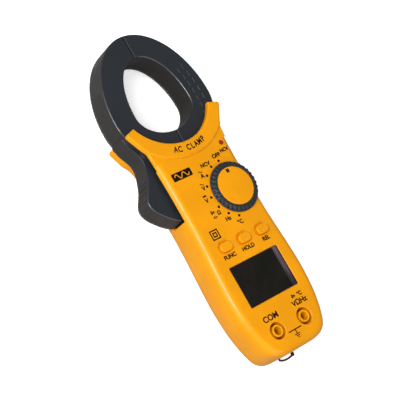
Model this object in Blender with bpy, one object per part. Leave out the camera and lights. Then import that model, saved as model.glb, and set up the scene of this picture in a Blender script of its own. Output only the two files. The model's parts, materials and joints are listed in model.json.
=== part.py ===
"""Clamp meter: two-shell body, split jaws with a side trigger, rotary selector and two input sockets.

The meter lies on its back. +Y points to the jaws, +X to the right seen from the front and +Z out of
the front panel. The origin is on the flat back, on the centre line, level with the input sockets.
Every size in this file is in millimetres; make_object turns them into metres.
"""

import math

import bmesh
import bpy
from mathutils import Vector

MM = 0.001

# Levels above the flat back
PANEL_Z = 28.0            # front panel
COLLAR_Z = 29.0           # raised collar around the jaws
HORN_Z = 27.95            # front of the horns outside the collar
SPLIT_Z = 10.0            # plane where front and rear case meet
CEILING_Z = 25.8          # inside of the front panel
FLOOR_Z = 2.2             # inside of the back
JAW_BACK_Z = 10.3
JAW_COVER_Z = 11.8        # inner face of a jaw's back cover
JAW_SHELL_Z = 12.1        # open edge of a jaw's housing
JAW_FRONT_Z = 25.5
LEVER_FRONT_Z = 22.8      # the trigger is lower than the jaw, to pass under the case's edge
BOARD_Z = 18.0
BOARD_TOP_Z = 19.6

# Body, seen from the front
WALL = 2.2
BODY_TOP_CORNER = (25.4, 114.0)      # hidden inside the collar
SIDE_CURVE = [(0, -12.8), (9, -12.7), (15, -11.6), (19.2, -8.6), (21.9, -3.2), (23.9, 3.5),
              (25.4, 11.5), (26.2, 22), (26.1, 32), (25.4, 44), (24.6, 56), (24.2, 70),
              (24.2, 88), (24.5, 100)]
FRONT_FILLET = 4.0
REAR_FILLET = 5.0
WIDEST_Z = 24.0           # the sides curve in from here to the back
BACK_NARROWING = 0.2      # share of the width that the back loses
NARROWING_FADE_Y = (93.0, 114.0)     # fades out towards the horns
REAR_LEVELS = [(7.4, 0), (SPLIT_Z, 0)]
SIDE_LEVELS = [(SPLIT_Z, 0), (14.5, 0), (19.0, 0)]
COLLAR_CENTRE = (0.0, 135.4)
BORE_CENTRE = (0.0, 136.1)
BORE_R = 28.0
COLLAR_OUTER_R = 35.8
COLLAR_END_Y = 109.0      # where the collar's lower edge meets the horns' edges
HORN_FLARE = [(24.6, 107.5), (25.1, 109.8), (27.3, 113.8)]
HORN_TIPS = ((31.7, 120.5), (31.7, 122.3))   # outer corners, right and left
HORN_CORNER_R = 1.4
HORN_LEAN = 33.0          # degrees between the horn's edge and +Y at its tip
HORN_SLOPE = 17.0         # degrees between the horn's end and X
HORN_INNER_X = 20.0       # inside the bore
HORN_ROOT = [(17, 98), (24.0, 102.4)]
JAW_PASSAGE_R = 33.9
REAR_SLOPE_Y = 92.0       # the back slopes up from here towards the horns
REAR_SLOPE_RISE = 5.5 / 32.0

# Jaws: two half ellipses, joined at JAW_MID_Y
JAW_MID_Y = 130.0
JAW_OUTER = (31.65, 43.5, 27.2)      # half width, height above and height below the middle
JAW_HOLE = (18.2, 30.0, 13.8)
JAW_GAP = 0.15                       # each jaw stops this far from the centre line
JAW_SKIN = 1.8
CORE_INSET = 3.4
CORE_Z = (13.4, 22.6)
PIVOT = (-15.0, 103.0)
PIVOT_PIN_R = 2.5
PIVOT_BORE_R = 2.6
HUB_R = 5.6
LEVER_PEG = (-19.0, 93.2)            # the return spring pushes on this peg
LEVER_PEG_R = 0.9
TRIGGER_CURVE = [(-31.2, 123), (-29.9, 117.5), (-27.5, 112.4), (-26.6, 108), (-27.6, 103),
                 (-30.6, 96.2), (-34.9, 89.8), (-36.2, 86), (-35.0, 82), (-32.2, 78.4),
                 (-28.0, 74.4), (-23.4, 71.7), (-20.2, 72.2)]
LEVER_INNER_EDGE = [(-17.8, 78), (-12.4, 94.4)]
LEVER_HOLLOW = [(-33.6, 86.4), (-31.6, 81.6), (-23.4, 75), (-20.8, 76), (-15.6, 92), (-23.6, 98.4),
                (-28.4, 96)]
LEVER_HOLLOW_TOP_Z = 20.8
NECK_LEFT = [(-26.4, 109.2), (-20.4, 104.6)]
NECK_RIGHT = [(-8, 108), (-25, 116)]
JAW_HOLLOW_TOP_Z = 23.7
JAW_EDGE = 0.8                       # chamfer around a jaw's front
JAW_TAB = (13.0, 11.6, (8.4, 100.6))  # width, height and centre of the fixed jaw's screw tab
JAW_TAB_Z = (12.4, 17.1)
COIL_Z = (12.4, 23.4)

# Front panel
SOCKET_X = 9.5                       # half the standard 19 mm spacing
SOCKET_TUBE_R = 6.0
SOCKET_GROOVE = (3.2, 4.6)
SOCKET_GROOVE_Z = 12.0
SOCKET_BORE_R = 2.75
SOCKET_MOUTH_R = 2.15
SLEEVE_TOP_Z = 21.0       # the metal sleeve starts out of reach of a finger
PLUG_R = 2.0                         # 4 mm plug
WINDOW = (33.5, 23.3)
WINDOW_Y = 27.5
LENS_SEAT_Z = 26.7
KEY_Y = 49.6
KEY_X = 1.1               # of the middle key
KEY_SPACING = 12.77
KEY_SIZE = (7.8, 5.2)
KEY_TOP_Z = 29.3
SELECTOR = (11.6, 75.6)
SELECTOR_BORE_R = 5.15
DIAL_TEETH = 32
LAMP = (19.3, 99.9)
LAMP_R = 1.1
LAMP_FLANGE_R = 1.5
SWITCH_HALF_WIDTH = 2.9
CHIP = ((1, 57.5, 16.2), (11, 67.5, 17.75))
BUZZER = (-8.6, 63.2)
THERMISTOR = (12, 73)

# Fasteners
CASE_SCREWS = [(-17.0, 8.0), (17.0, 8.0), (-17.0, 62.5), (17.0, 62.5), (8.4, 91.8)]
CASE_BOSS_R, CASE_PILOT_R = 2.8, 1.3
REAR_BOSS_R, COUNTERBORE_R, COUNTERBORE_Z = 4.2, 3.2, 5.4
BOARD_SCREWS = [(0.0, 9.4), (-13.0, 56.0), (13.0, 56.0), (-0.5, 86.0)]
BOARD_BOSS_R, BOARD_PILOT_R = 2.4, 0.98
JAW_SCREWS = [(4.6, 98.4), (12.2, 98.4)]
JAW_BOSS_R, JAW_PILOT_R = 2.9, 1.2
SCREW_HOLE_R = 1.6        # a screw's shank passes through

# Battery compartment
CELL_R = 5.25
CELL_X = 5.6
CELL_Z = 8.2
CONTACT_Z = (3.6, 12.8)
CONTACT_THICKNESS = 0.5
CELL_Y = (9.6, 54.1)
BAY_X = 11.2
BAY_Y = (7.6, 56.2)
BAY_TOP_Z = 13.9
BAY_WALL = 1.3
COVER_X = 12.4
COVER_Y = (5.2, 65.2)
COVER_SCREW_Y = 61.4
COVER_THICKNESS = 1.6

# Strap
STRAP_X = 3.0
STRAP_BAR = (-10.9, 5.0)             # y and z of the bar's axis
STRAP_BAR_R = 1.1
CORD_R = 0.55


# ---------------------------------------------------------------- outlines

def arc(centre, radius, start, end, steps):
    """Points on an arc, angles in degrees, both ends included."""
    angles = [math.radians(start + (end - start) * i / steps) for i in range(steps + 1)]
    return [(centre[0] + radius * math.cos(a), centre[1] + radius * math.sin(a)) for a in angles]


def smooth_curve(points, steps, closed=False):
    """Catmull-Rom curve through points of any dimension."""
    count = len(points)
    spans = count if closed else count - 1

    def control(index):
        return Vector(points[index % count] if closed else points[min(max(index, 0), count - 1)])

    result = []
    for span in range(spans):
        a, b, c, d = (control(span + k) for k in (-1, 0, 1, 2))
        for i in range(steps):
            t = i / steps
            result.append(tuple(0.5 * (2 * b + (c - a) * t + (2 * a - 5 * b + 4 * c - d) * t ** 2
                                       + (3 * b - a - 3 * c + d) * t ** 3)))
    return result if closed else result + [tuple(points[-1])]


def mirrored(points):
    return [(-x, y) for x, y in reversed(points)]


def rounded_box(width, height, radius, centre=(0, 0), steps=2):
    """Rectangle with round corners, anticlockwise."""
    x, y = width / 2 - radius, height / 2 - radius
    corners = [(x, y, 0), (-x, y, 90), (-x, -y, 180), (x, -y, 270)]
    return [point for cx, cy, start in corners
            for point in arc((centre[0] + cx, centre[1] + cy), radius, start, start + 90, steps)]


def stadium(size, centre, steps=5):
    width, height = size
    reach = (width - height) / 2
    return (arc((centre[0] + reach, centre[1]), height / 2, -90, 90, steps)
            + arc((centre[0] - reach, centre[1]), height / 2, 90, 270, steps))


def body_outline():
    right = smooth_curve(SIDE_CURVE, 2) + [BODY_TOP_CORNER]
    return right + mirrored(right)[:-1]


def horn_edge(tip):
    """Right edge of a horn, from the body's side up to its tip, and along its end into the bore."""
    lean, slope = math.radians(HORN_LEAN), math.radians(HORN_SLOPE)
    side_normal = Vector((math.cos(lean), -math.sin(lean)))
    end_normal = Vector((math.sin(slope), math.cos(slope)))
    reach = HORN_CORNER_R / (1 + side_normal.dot(end_normal))
    corner = arc(Vector(tip) - reach * (side_normal + end_normal), HORN_CORNER_R,
                 -HORN_LEAN, 90 - HORN_SLOPE, 3)
    inner = (HORN_INNER_X, tip[1] + (tip[0] - HORN_INNER_X) * math.tan(slope))
    return smooth_curve(HORN_FLARE + corner[:1], 3)[:-1] + corner + [inner]


def horns_outline():
    """Both horns with their roots inside the body; the jaw bore is cut out of them afterwards."""
    right, left = (HORN_ROOT + horn_edge(tip) for tip in HORN_TIPS)
    return right + mirrored(left)


def collar_outline():
    """Raised band around the jaws: between the horns' edges and a shallow arc across the panel."""
    right, left = ([point for point in horn_edge(tip) if point[1] >= COLLAR_END_Y]
                   for tip in HORN_TIPS)
    end_x, end_y = right[0]
    bottom_y = COLLAR_CENTRE[1] - COLLAR_OUTER_R
    rise = end_y - bottom_y
    radius = (end_x ** 2 + rise ** 2) / (2 * rise)
    reach = math.degrees(math.asin(end_x / radius))
    lower = arc((0, bottom_y + radius), radius, -90 - reach, -90 + reach, 16)
    return right + mirrored(left) + lower[1:-1]


def ellipse_point(axes, angle, inset=0.0):
    half_width, above, below = axes
    height = above if math.sin(angle) >= 0 else below
    return ((half_width - inset) * math.cos(angle), JAW_MID_Y + (height - inset) * math.sin(angle))


def jaw_sector(outer_inset, hole_inset, end_x, start=-90, end=90, steps=24):
    """Right half of the jaw ring; the outer and the hole ellipse are moved into the ring."""
    angles = [math.radians(start + (end - start) * i / steps) for i in range(steps + 1)]
    outer = [ellipse_point(JAW_OUTER, a, outer_inset) for a in angles]
    hole = [ellipse_point(JAW_HOLE, a, -hole_inset) for a in reversed(angles)]
    return [(max(x, end_x), y) for x, y in outer + hole]


def lever_outline():
    hub_right = arc(PIVOT, HUB_R, -30, 60, 5)
    return smooth_curve(TRIGGER_CURVE, 3) + LEVER_INNER_EDGE + hub_right + [(-18, 113), (-24, 122)]


def board_outline():
    left, right, step_y, step_x, top = -19.6, 19.6, 68.5, -3.4, 88.0
    return [(12, -9.7), (18, -5.5), (right, 2), (right, top), (step_x, top), (step_x, step_y),
            (left, step_y), (left, 2), (-18, -5.5), (-12, -9.7)]


def inset(outline, distance):
    """Moves an anticlockwise outline inwards, keeping its corners sharp."""
    count = len(outline)
    result = []
    for i in range(count):
        here = Vector(outline[i])
        before = (here - Vector(outline[i - 1])).normalized()
        after = (Vector(outline[(i + 1) % count]) - here).normalized()
        left_before, left_after = Vector((-before.y, before.x)), Vector((-after.y, after.x))
        bisector = (left_before + left_after).normalized()
        result.append(tuple(here + bisector * (distance / max(bisector.dot(left_after), 0.2))))
    return result


# ---------------------------------------------------------------- solids

def make_object(name, bm):
    bmesh.ops.recalc_face_normals(bm, faces=bm.faces)
    bmesh.ops.scale(bm, vec=(MM, MM, MM), verts=bm.verts)
    if bm.calc_volume(signed=True) < 0:
        bmesh.ops.reverse_faces(bm, faces=bm.faces)
    mesh = bpy.data.meshes.new(name)
    bm.to_mesh(mesh)
    bm.free()
    obj = bpy.data.objects.new(name, mesh)
    bpy.context.scene.collection.objects.link(obj)
    return obj


def loft(name, rings, loop=False):
    """Skin over rings of equal length, closed by end caps or, as a loop, by joining the ends."""
    bm = bmesh.new()
    rows = [[bm.verts.new(point) for point in ring] for ring in rings]
    pairs = list(zip(rows, rows[1:])) + ([(rows[-1], rows[0])] if loop else [])
    count = len(rings[0])
    for low, high in pairs:
        for i in range(count):
            j = (i + 1) % count
            bm.faces.new((low[i], low[j], high[j], high[i]))
    if not loop:
        bm.faces.new(reversed(rows[0]))
        bm.faces.new(rows[-1])
    return make_object(name, bm)


def prism(name, outline, levels):
    """Stack of insets of one outline: levels are (z, inset) pairs, from low to high."""
    rings = []
    for z, distance in levels:
        ring = inset(outline, distance) if distance else outline
        rings.append([(x, y, z) for x, y in ring])
    return loft(name, rings)


def slab(name, outline, low, high):
    return prism(name, outline, [(low, 0), (high, 0)])


def box(name, low, high):
    outline = [(low[0], low[1]), (high[0], low[1]), (high[0], high[1]), (low[0], high[1])]
    return slab(name, outline, low[2], high[2])


def front_fillet(top, radius, steps):
    """Levels that round a solid's upper edge."""
    angles = [math.pi / 2 * i / steps for i in range(steps + 1)]
    return [(top - radius + radius * math.sin(a), radius * (1 - math.cos(a))) for a in angles]


def rear_fillet(bottom, radius, steps):
    levels = front_fillet(0, radius, steps)
    return [(bottom - z, distance) for z, distance in reversed(levels)]


def lathe(name, profile, steps, centre=(0, 0), loop=False):
    """Solid of revolution about a line parallel to Z; profile is (radius, z) pairs."""
    rings = [[(centre[0] + r * math.cos(2 * math.pi * i / steps),
               centre[1] + r * math.sin(2 * math.pi * i / steps), z) for i in range(steps)]
             for r, z in profile]
    return loft(name, rings, loop)


def cylinder(name, centre, radius, low, high, steps=24):
    return lathe(name, [(radius, low), (radius, high)], steps, centre)


def sweep(name, path, radius, sides, closed=False):
    """Round wire along a path, with the section carried along without twist."""
    points = [Vector(point) for point in path]
    count = len(points)
    normal = Vector((0, 0, 1))
    rings = []
    for i, point in enumerate(points):
        ahead = points[(i + 1) % count] if closed or i + 1 < count else point
        behind = points[i - 1] if closed or i > 0 else point
        tangent = (ahead - behind).normalized()
        side = normal.cross(tangent)
        if side.length < 1e-3:
            side = Vector((1, 0, 0)).cross(tangent)
        side.normalize()
        normal = tangent.cross(side).normalized()
        rings.append([tuple(point + radius * (side * math.cos(2 * math.pi * k / sides)
                                              + normal * math.sin(2 * math.pi * k / sides)))
                      for k in range(sides)])
    return loft(name, rings, closed)


def coil_path(centre, radius_low, radius_high, low, high, turns, steps=12):
    total = int(turns * steps)
    return [(centre[0] + (radius_low + (radius_high - radius_low) * i / total)
             * math.cos(2 * math.pi * i / steps),
             centre[1] + (radius_low + (radius_high - radius_low) * i / total)
             * math.sin(2 * math.pi * i / steps),
             low + (high - low) * i / total) for i in range(total + 1)]


def combine(target, tool, operation):
    """Applies one Boolean and removes the tool."""
    modifier = target.modifiers.new(operation.lower(), "BOOLEAN")
    modifier.operation = operation
    modifier.object = tool
    bpy.context.view_layer.objects.active = target
    bpy.ops.object.modifier_apply(modifier=modifier.name)
    bpy.data.objects.remove(tool)


def cut(target, *tools):
    for tool in tools:
        combine(target, tool, "DIFFERENCE")


def add(target, *tools):
    for tool in tools:
        combine(target, tool, "UNION")


# ---------------------------------------------------------------- materials and joints

def material(name, colour, roughness, metallic=0.0):
    found = bpy.data.materials.get(name)
    if found:
        return found
    made = bpy.data.materials.new(name)
    made.use_nodes = True
    shader = made.node_tree.nodes["Principled BSDF"]
    shader.inputs["Base Color"].default_value = (*colour, 1.0)
    shader.inputs["Roughness"].default_value = roughness
    shader.inputs["Metallic"].default_value = metallic
    return made


def body_yellow():
    return material("body_yellow", (0.93, 0.42, 0.02), 0.42)


def jaw_black():
    return material("jaw_black", (0.028, 0.031, 0.036), 0.5)


def dial_grey():
    return material("dial_grey", (0.045, 0.05, 0.055), 0.5)


def steel():
    return material("steel", (0.55, 0.55, 0.56), 0.35, 1.0)


def brass():
    return material("brass", (0.72, 0.5, 0.2), 0.3, 1.0)


def core_iron():
    return material("core_iron", (0.2, 0.2, 0.21), 0.5, 1.0)


def copper():
    return material("copper", (0.7, 0.3, 0.14), 0.35, 1.0)


def board_green():
    return material("board_green", (0.02, 0.16, 0.07), 0.45)


def component_black():
    return material("component_black", (0.02, 0.02, 0.022), 0.5)


def white_plastic():
    return material("white_plastic", (0.75, 0.74, 0.7), 0.5)


def lens_dark():
    return material("lens_dark", (0.012, 0.011, 0.008), 0.08)


def display_glass():
    return material("display_glass", (0.35, 0.4, 0.33), 0.15)


def strip_grey():
    return material("strip_grey", (0.25, 0.25, 0.27), 0.7)


def lamp_red():
    return material("lamp_red", (0.45, 0.02, 0.015), 0.2)


def thermistor_blue():
    return material("thermistor_blue", (0.05, 0.12, 0.35), 0.45)


def cell_wrap():
    return material("cell_wrap", (0.08, 0.09, 0.1), 0.35)


def cord_black():
    return material("cord_black", (0.02, 0.02, 0.02), 0.75)


def finish(obj, surface):
    """Gives an object its material and smooth round surfaces."""
    obj.data.materials.clear()
    obj.data.materials.append(surface)
    obj.data.shade_smooth()
    obj.data.set_sharp_from_angle(angle=math.radians(32))
    return obj


def axis_empty(name, x, y, z):
    empty = bpy.data.objects.new(name, None)
    empty.location = (x * MM, y * MM, z * MM)
    empty.empty_display_size = 10 * MM
    bpy.context.scene.collection.objects.link(empty)
    bpy.context.view_layer.update()
    return empty


def attach(empty, *pieces):
    for piece in pieces:
        piece.parent = empty
        piece.matrix_parent_inverse = empty.matrix_world.inverted()


# ---------------------------------------------------------------- case

def jaw_bore(low, high):
    """Cutter for the round mouth of the collar, with a rounded front lip."""
    lip = 0.9
    arc_steps = 2
    profile = [(BORE_R, low), (BORE_R, COLLAR_Z - lip)]
    for i in range(1, arc_steps + 1):
        angle = math.pi / 2 * i / arc_steps
        profile.append((BORE_R + lip * (1 - math.cos(angle)),
                        COLLAR_Z - lip + lip * math.sin(angle)))
    profile.append((BORE_R + lip, high))
    return lathe("jaw_bore", profile, 72, BORE_CENTRE)


def socket_housing(x):
    return cylinder("socket_housing", (x, 0), SOCKET_TUBE_R, 10.3, 26.6, 20)


def socket_groove(x):
    inner, outer = SOCKET_GROOVE
    profile = [(inner, SOCKET_GROOVE_Z), (outer, SOCKET_GROOVE_Z), (outer, 29), (inner, 29)]
    return lathe("socket_groove", profile, 24, (x, 0), loop=True)


def socket_bore(x):
    """Wide below for the metal sleeve, and narrow above it."""
    shoulder = SLEEVE_TOP_Z + 0.15
    return lathe("socket_bore", [(SOCKET_BORE_R, 8), (SOCKET_BORE_R, shoulder),
                                 (SOCKET_MOUTH_R, shoulder), (SOCKET_MOUTH_R, 30)], 24, (x, 0))


def detent_ring():
    """Ring under the panel with one notch for every 22.5 degrees of the selector."""
    notches, depth = 16, 0.35
    inner, outer, crest = 7.6, 9.6, 25.1
    wave = [0.0, 1.0, 0.0]
    per_notch = len(wave)
    rings = []
    for i in range(notches * per_notch):
        angle = 2 * math.pi * (i - 1) / (notches * per_notch) + math.pi / 2
        low = crest + depth * wave[i % per_notch]
        rings.append([(SELECTOR[0] + r * math.cos(angle), SELECTOR[1] + r * math.sin(angle), z)
                      for r, z in ((inner, low), (outer, low), (outer, 26.1), (inner, 26.1))])
    return loft("detent_ring", rings, loop=True)


def front_openings():
    """Cutters for everything that passes through the front panel."""
    width, height = WINDOW
    tools = [prism("lens_seat", rounded_box(width, height, 0.8, (0, WINDOW_Y)),
                   [(LENS_SEAT_Z, 0), (29, 0)]),
             prism("window", rounded_box(width - 3, height - 3, 0.6, (0, WINDOW_Y)),
                   [(24, 0), (27.5, 0)]),
             cylinder("selector_hole", SELECTOR, SELECTOR_BORE_R, 24, 30, 24),
             cylinder("lamp_hole", LAMP, LAMP_R + 0.2, 24, 30, 16)]
    for i in (-1, 0, 1):
        centre = (KEY_X + i * KEY_SPACING, KEY_Y)
        tools.append(prism("key_hole", stadium(KEY_SIZE, centre), [(24, -0.2), (29, -0.2)]))
        tools.append(prism("key_recess", stadium(KEY_SIZE, centre), [(27.6, -0.6), (28.4, -1.5)]))
    return tools


def narrow_back(shell):
    """Curves a shell's sides in towards the back, less and less near the horns."""
    start_y, end_y = NARROWING_FADE_Y
    bm = bmesh.new()
    bm.from_mesh(shell.data)
    bmesh.ops.triangulate(bm, faces=bm.faces)
    for vert in bm.verts:
        depth = max(0.0, 1 - vert.co.z / (WIDEST_Z * MM))
        fade = min(max((end_y - vert.co.y / MM) / (end_y - start_y), 0), 1)
        vert.co.x *= 1 - BACK_NARROWING * depth ** 2 * fade
    bm.to_mesh(shell.data)
    bm.free()
    return shell


def front_case():
    case = narrow_back(prism("front_case", body_outline(),
                             SIDE_LEVELS + front_fillet(PANEL_Z, FRONT_FILLET, 3)))
    add(case,
        prism("horns", horns_outline(), [(CEILING_Z + 0.1, 0)] + front_fillet(HORN_Z, 0.9, 1)),
        prism("collar", collar_outline(), [(CEILING_Z + 0.8, 0)] + front_fillet(COLLAR_Z, 1.0, 2)))
    cut(case,
        narrow_back(prism("cavity", inset(body_outline(), WALL),
                          [(SPLIT_Z - 1, 0)] + SIDE_LEVELS[1:] + [(CEILING_Z, 0)])),
        jaw_bore(0, 31),
        cylinder("jaw_passage", COLLAR_CENTRE, JAW_PASSAGE_R, SPLIT_Z - 1.2, CEILING_Z + 0.03, 64),
        box("trigger_slot", (-40, 70.4, SPLIT_Z - 1), (-19, 101, 25.2)),
        box("jaw_slot", (-40, 99.5, SPLIT_Z - 1.1), (-19.5, 125, CEILING_Z + 0.06)))
    for centre in CASE_SCREWS:
        add(case, cylinder("boss", centre, CASE_BOSS_R, SPLIT_Z + 0.1, 26.6, 12))
    for centre in BOARD_SCREWS:
        add(case, cylinder("boss", centre, BOARD_BOSS_R, BOARD_TOP_Z + 0.3, 26.5, 12))
    for centre in JAW_SCREWS:
        add(case, cylinder("boss", centre, JAW_BOSS_R, JAW_TAB_Z[1] + 0.3, 26.4, 12))
    add(case, detent_ring())
    for x in (-SOCKET_X, SOCKET_X):
        add(case, socket_housing(x))
        cut(case, socket_groove(x), socket_bore(x))
    cut(case, *front_openings())
    cut(case, cylinder("pivot_hole", PIVOT, PIVOT_BORE_R, 24, 27.6, 24))
    for centre in CASE_SCREWS:
        cut(case, cylinder("pilot", centre, CASE_PILOT_R, SPLIT_Z - 1, 22, 8))
    for centre in BOARD_SCREWS:
        cut(case, cylinder("pilot", centre, BOARD_PILOT_R, BOARD_Z, 25, 8))
    for centre in JAW_SCREWS:
        cut(case, cylinder("pilot", centre, JAW_PILOT_R, JAW_TAB_Z[1] - 1, 25, 8))
    return finish(case, body_yellow())


def rear_slope():
    """Wedge below the back that thins the case towards its horns."""
    reach = 40
    low = 0.02
    end_z = reach * REAR_SLOPE_RISE
    side = [(REAR_SLOPE_Y, low - 5), (REAR_SLOPE_Y + reach, low - 5),
            (REAR_SLOPE_Y + reach, end_z), (REAR_SLOPE_Y, 0)]
    rings = [[(x, y, z) for y, z in side] for x in (-45, 45)]
    return loft("rear_slope", rings)


def spring_pocket():
    """Ring-shaped pocket around the pivot boss, with a slot for the spring's two legs."""
    pocket = lathe("spring_pocket", [(3.7, 4.5), (6.4, 4.5), (6.4, 12), (3.7, 12)], 24, PIVOT,
                   loop=True)
    add(pocket, box("leg_slot", (-19.6, 92, 4.4), (-8.2, 100.5, 11)))
    return pocket


def strap_pocket():
    low_x, high_x = STRAP_X - 6.5, STRAP_X + 6.5
    return box("strap_pocket", (low_x, -15, -1), (high_x, -7.8, 7.9))


def rear_case():
    case = prism("rear_case", body_outline(), rear_fillet(0, REAR_FILLET, 3) + REAR_LEVELS)
    add(case, slab("horns", horns_outline(), 1.0, SPLIT_Z + 0.01))
    narrow_back(case)
    cavity = narrow_back(prism("cavity", inset(body_outline(), WALL),
                               [(FLOOR_Z, 0), (4.8, 0)] + REAR_LEVELS + [(12, 0)]))
    cut(cavity, box("solid_end", (-40, 95.5, 0), (40, 130, 13)))
    for centre in CASE_SCREWS:
        cut(cavity, cylinder("boss", centre, REAR_BOSS_R, 1.1, SPLIT_Z - 0.2, 16))
    cut(case, rear_slope(), jaw_bore(-3, 31), cavity,
        box("level", (-45, -30, SPLIT_Z), (45, 140, SPLIT_Z + 3)))
    bay = box("bay", (-BAY_X - BAY_WALL, BAY_Y[0] - BAY_WALL, 1),
              (BAY_X + BAY_WALL, BAY_Y[1] + BAY_WALL, BAY_TOP_Z + BAY_WALL))
    add(case, bay)
    add(case,
        cylinder("cover_boss", (0, COVER_SCREW_Y), 3.4, 1.2, 9.5, 20),
        box("strap_block", (STRAP_X - 8, -11.2, 1.3), (STRAP_X + 8, -6.7, 8.9)))
    cut(case,
        box("bay_hollow", (-BAY_X, BAY_Y[0], -1), (BAY_X, BAY_Y[1], BAY_TOP_Z)),
        slab("cover_seat", cover_outline(-0.3), -2, COVER_THICKNESS + 0.3),
        cylinder("cover_pilot", (0, COVER_SCREW_Y), 1.15, 0, 8.4, 12),
        strap_pocket(),
        spring_pocket(),
        cylinder("pivot_hole", PIVOT, PIVOT_BORE_R, 3.2, 12, 24))
    for centre in CASE_SCREWS:
        cut(case, cylinder("counterbore", centre, COUNTERBORE_R, -1, COUNTERBORE_Z, 16),
            cylinder("clearance", centre, SCREW_HOLE_R, 4, 12, 10))
    add(case, strap_bar())
    return finish(case, body_yellow())


def strap_bar():
    y, z = STRAP_BAR
    bar = cylinder("strap_bar", (0, 0), STRAP_BAR_R, -7.0, 7.0, 16)
    bar.rotation_euler = (0, math.pi / 2, 0)
    bar.location = (STRAP_X * MM, y * MM, z * MM)
    return bar


# ---------------------------------------------------------------- battery bay

def cover_outline(clearance):
    """Plate over the bay with a narrower tongue for its screw."""
    x, low, high = COVER_X, COVER_Y[0], COVER_Y[1]
    shoulder, tongue = 58.4, 4.6
    right = (arc((x - 2, low + 2), 2, -90, 0, 4) + arc((x - 2, shoulder - 2), 2, 0, 90, 4)
             + [(tongue + 1, shoulder)] + arc((tongue - 2, high - 2), 2, 0, 90, 4))
    return inset(right + mirrored(right), clearance)


def battery_cover():
    cover = prism("battery_cover", cover_outline(0), rear_fillet(0, 0.5, 2) + [(COVER_THICKNESS, 0)])
    skirt = box("skirt", (-10.8, 8.0, 1.2), (10.8, 55.8, 2.8))
    cut(skirt, box("skirt_hollow", (-9.8, 9.0, 0), (9.8, 54.8, 4)))
    add(cover, skirt)
    for i in range(5):
        y = 14 + 3 * i
        cut(cover, box("grip", (-7, y, -1), (7, y + 1.2, 0.45)))
    cut(cover, cylinder("screw_hole", (0, COVER_SCREW_Y), SCREW_HOLE_R, -1, 3, 12),
        cylinder("head_seat", (0, COVER_SCREW_Y), 2.7, -1, 0.95, 20))
    return finish(cover, body_yellow())


def screw(name, centre, head_r, head_low, head_high, shank_r, shank_top, slotted=True):
    """Pan-head screw entering from the back."""
    made = lathe(name, [(head_r - 0.4, head_low), (head_r, head_low + 0.4), (head_r, head_high),
                        (shank_r, head_high), (shank_r, shank_top - 0.6),
                        (shank_r * 0.4, shank_top)], 10, centre)
    if slotted:
        slot, depth = 0.3, 0.6 * (head_high - head_low)
        cut(made, box("slot", (centre[0] - head_r * 0.6, centre[1] - slot, head_low - 1),
                      (centre[0] + head_r * 0.6, centre[1] + slot, head_low + depth)))
    return finish(made, steel())


def battery_cell(name, x, nub_up):
    length = CELL_Y[1] - CELL_Y[0]
    cell = lathe(name, [(CELL_R - 0.4, 0), (CELL_R, 0.4), (CELL_R, length - 1.5),
                        (CELL_R - 0.5, length - 1.1), (1.9, length - 1.1), (1.9, length)], 24)
    cell.rotation_euler = (-math.pi / 2 if nub_up else math.pi / 2, 0, 0)
    start = CELL_Y[0] if nub_up else CELL_Y[1]
    cell.location = (x * MM, start * MM, CELL_Z * MM)
    return finish(cell, cell_wrap())


def contact_spring(x, y, up):
    """Conical coil that presses on the flat end of a cell."""
    coil = sweep("contact_spring", coil_path((0, 0), 3.2, 2.0, -0.25, 0.75, 2.0), 0.25, 6)
    coil.rotation_euler = (-math.pi / 2 if up else math.pi / 2, 0, 0)
    coil.location = (x * MM, y * MM, CELL_Z * MM)
    return coil


def bay_contacts():
    low_z, high_z = CONTACT_Z
    thickness = CONTACT_THICKNESS
    bottom, top = BAY_Y[0] + 0.3, BAY_Y[1] - 0.3
    bridge = box("battery_bridge_contact", (-10.4, top - thickness, low_z), (10.4, top, high_z))
    add(bridge, contact_spring(CELL_X, top - thickness, False))
    minus = box("battery_minus_contact", (-10.4, bottom, low_z), (-0.9, bottom + thickness, high_z))
    add(minus, contact_spring(-CELL_X, bottom + thickness, True))
    plus = box("battery_plus_contact", (0.9, bottom, low_z), (10.4, bottom + thickness, high_z))
    button = cylinder("button", (0, 0), 2.2, -0.2, 0.7, 16)
    button.rotation_euler = (-math.pi / 2, 0, 0)
    button.location = (CELL_X * MM, (bottom + thickness) * MM, CELL_Z * MM)
    add(plus, button)
    for contact in (bridge, minus, plus):
        finish(contact, steel())


# ---------------------------------------------------------------- jaws

def core_window(top):
    """Cutter for the opening in a jaw's end wall where the core's face shows."""
    outer, hole = (JAW_OUTER[1], JAW_HOLE[1]) if top else (-JAW_OUTER[2], -JAW_HOLE[2])
    ends = sorted((JAW_MID_Y + outer, JAW_MID_Y + hole))
    margin = CORE_INSET - 0.3
    return box("core_window", (-1, ends[0] + margin, CORE_Z[0] - 0.3),
               (3, ends[1] - margin, CORE_Z[1] + 0.3))


def flipped(obj):
    """Mirrors a cutter or a half jaw to the left side."""
    bm = bmesh.new()
    bm.from_mesh(obj.data)
    bmesh.ops.scale(bm, vec=(-1, 1, 1), verts=bm.verts)
    bmesh.ops.reverse_faces(bm, faces=bm.faces)
    bm.to_mesh(obj.data)
    bm.free()
    return obj


def jaw_hollow():
    return slab("jaw_hollow", jaw_sector(JAW_SKIN, JAW_SKIN, JAW_GAP + JAW_SKIN), 11,
                JAW_HOLLOW_TOP_Z)


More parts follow.
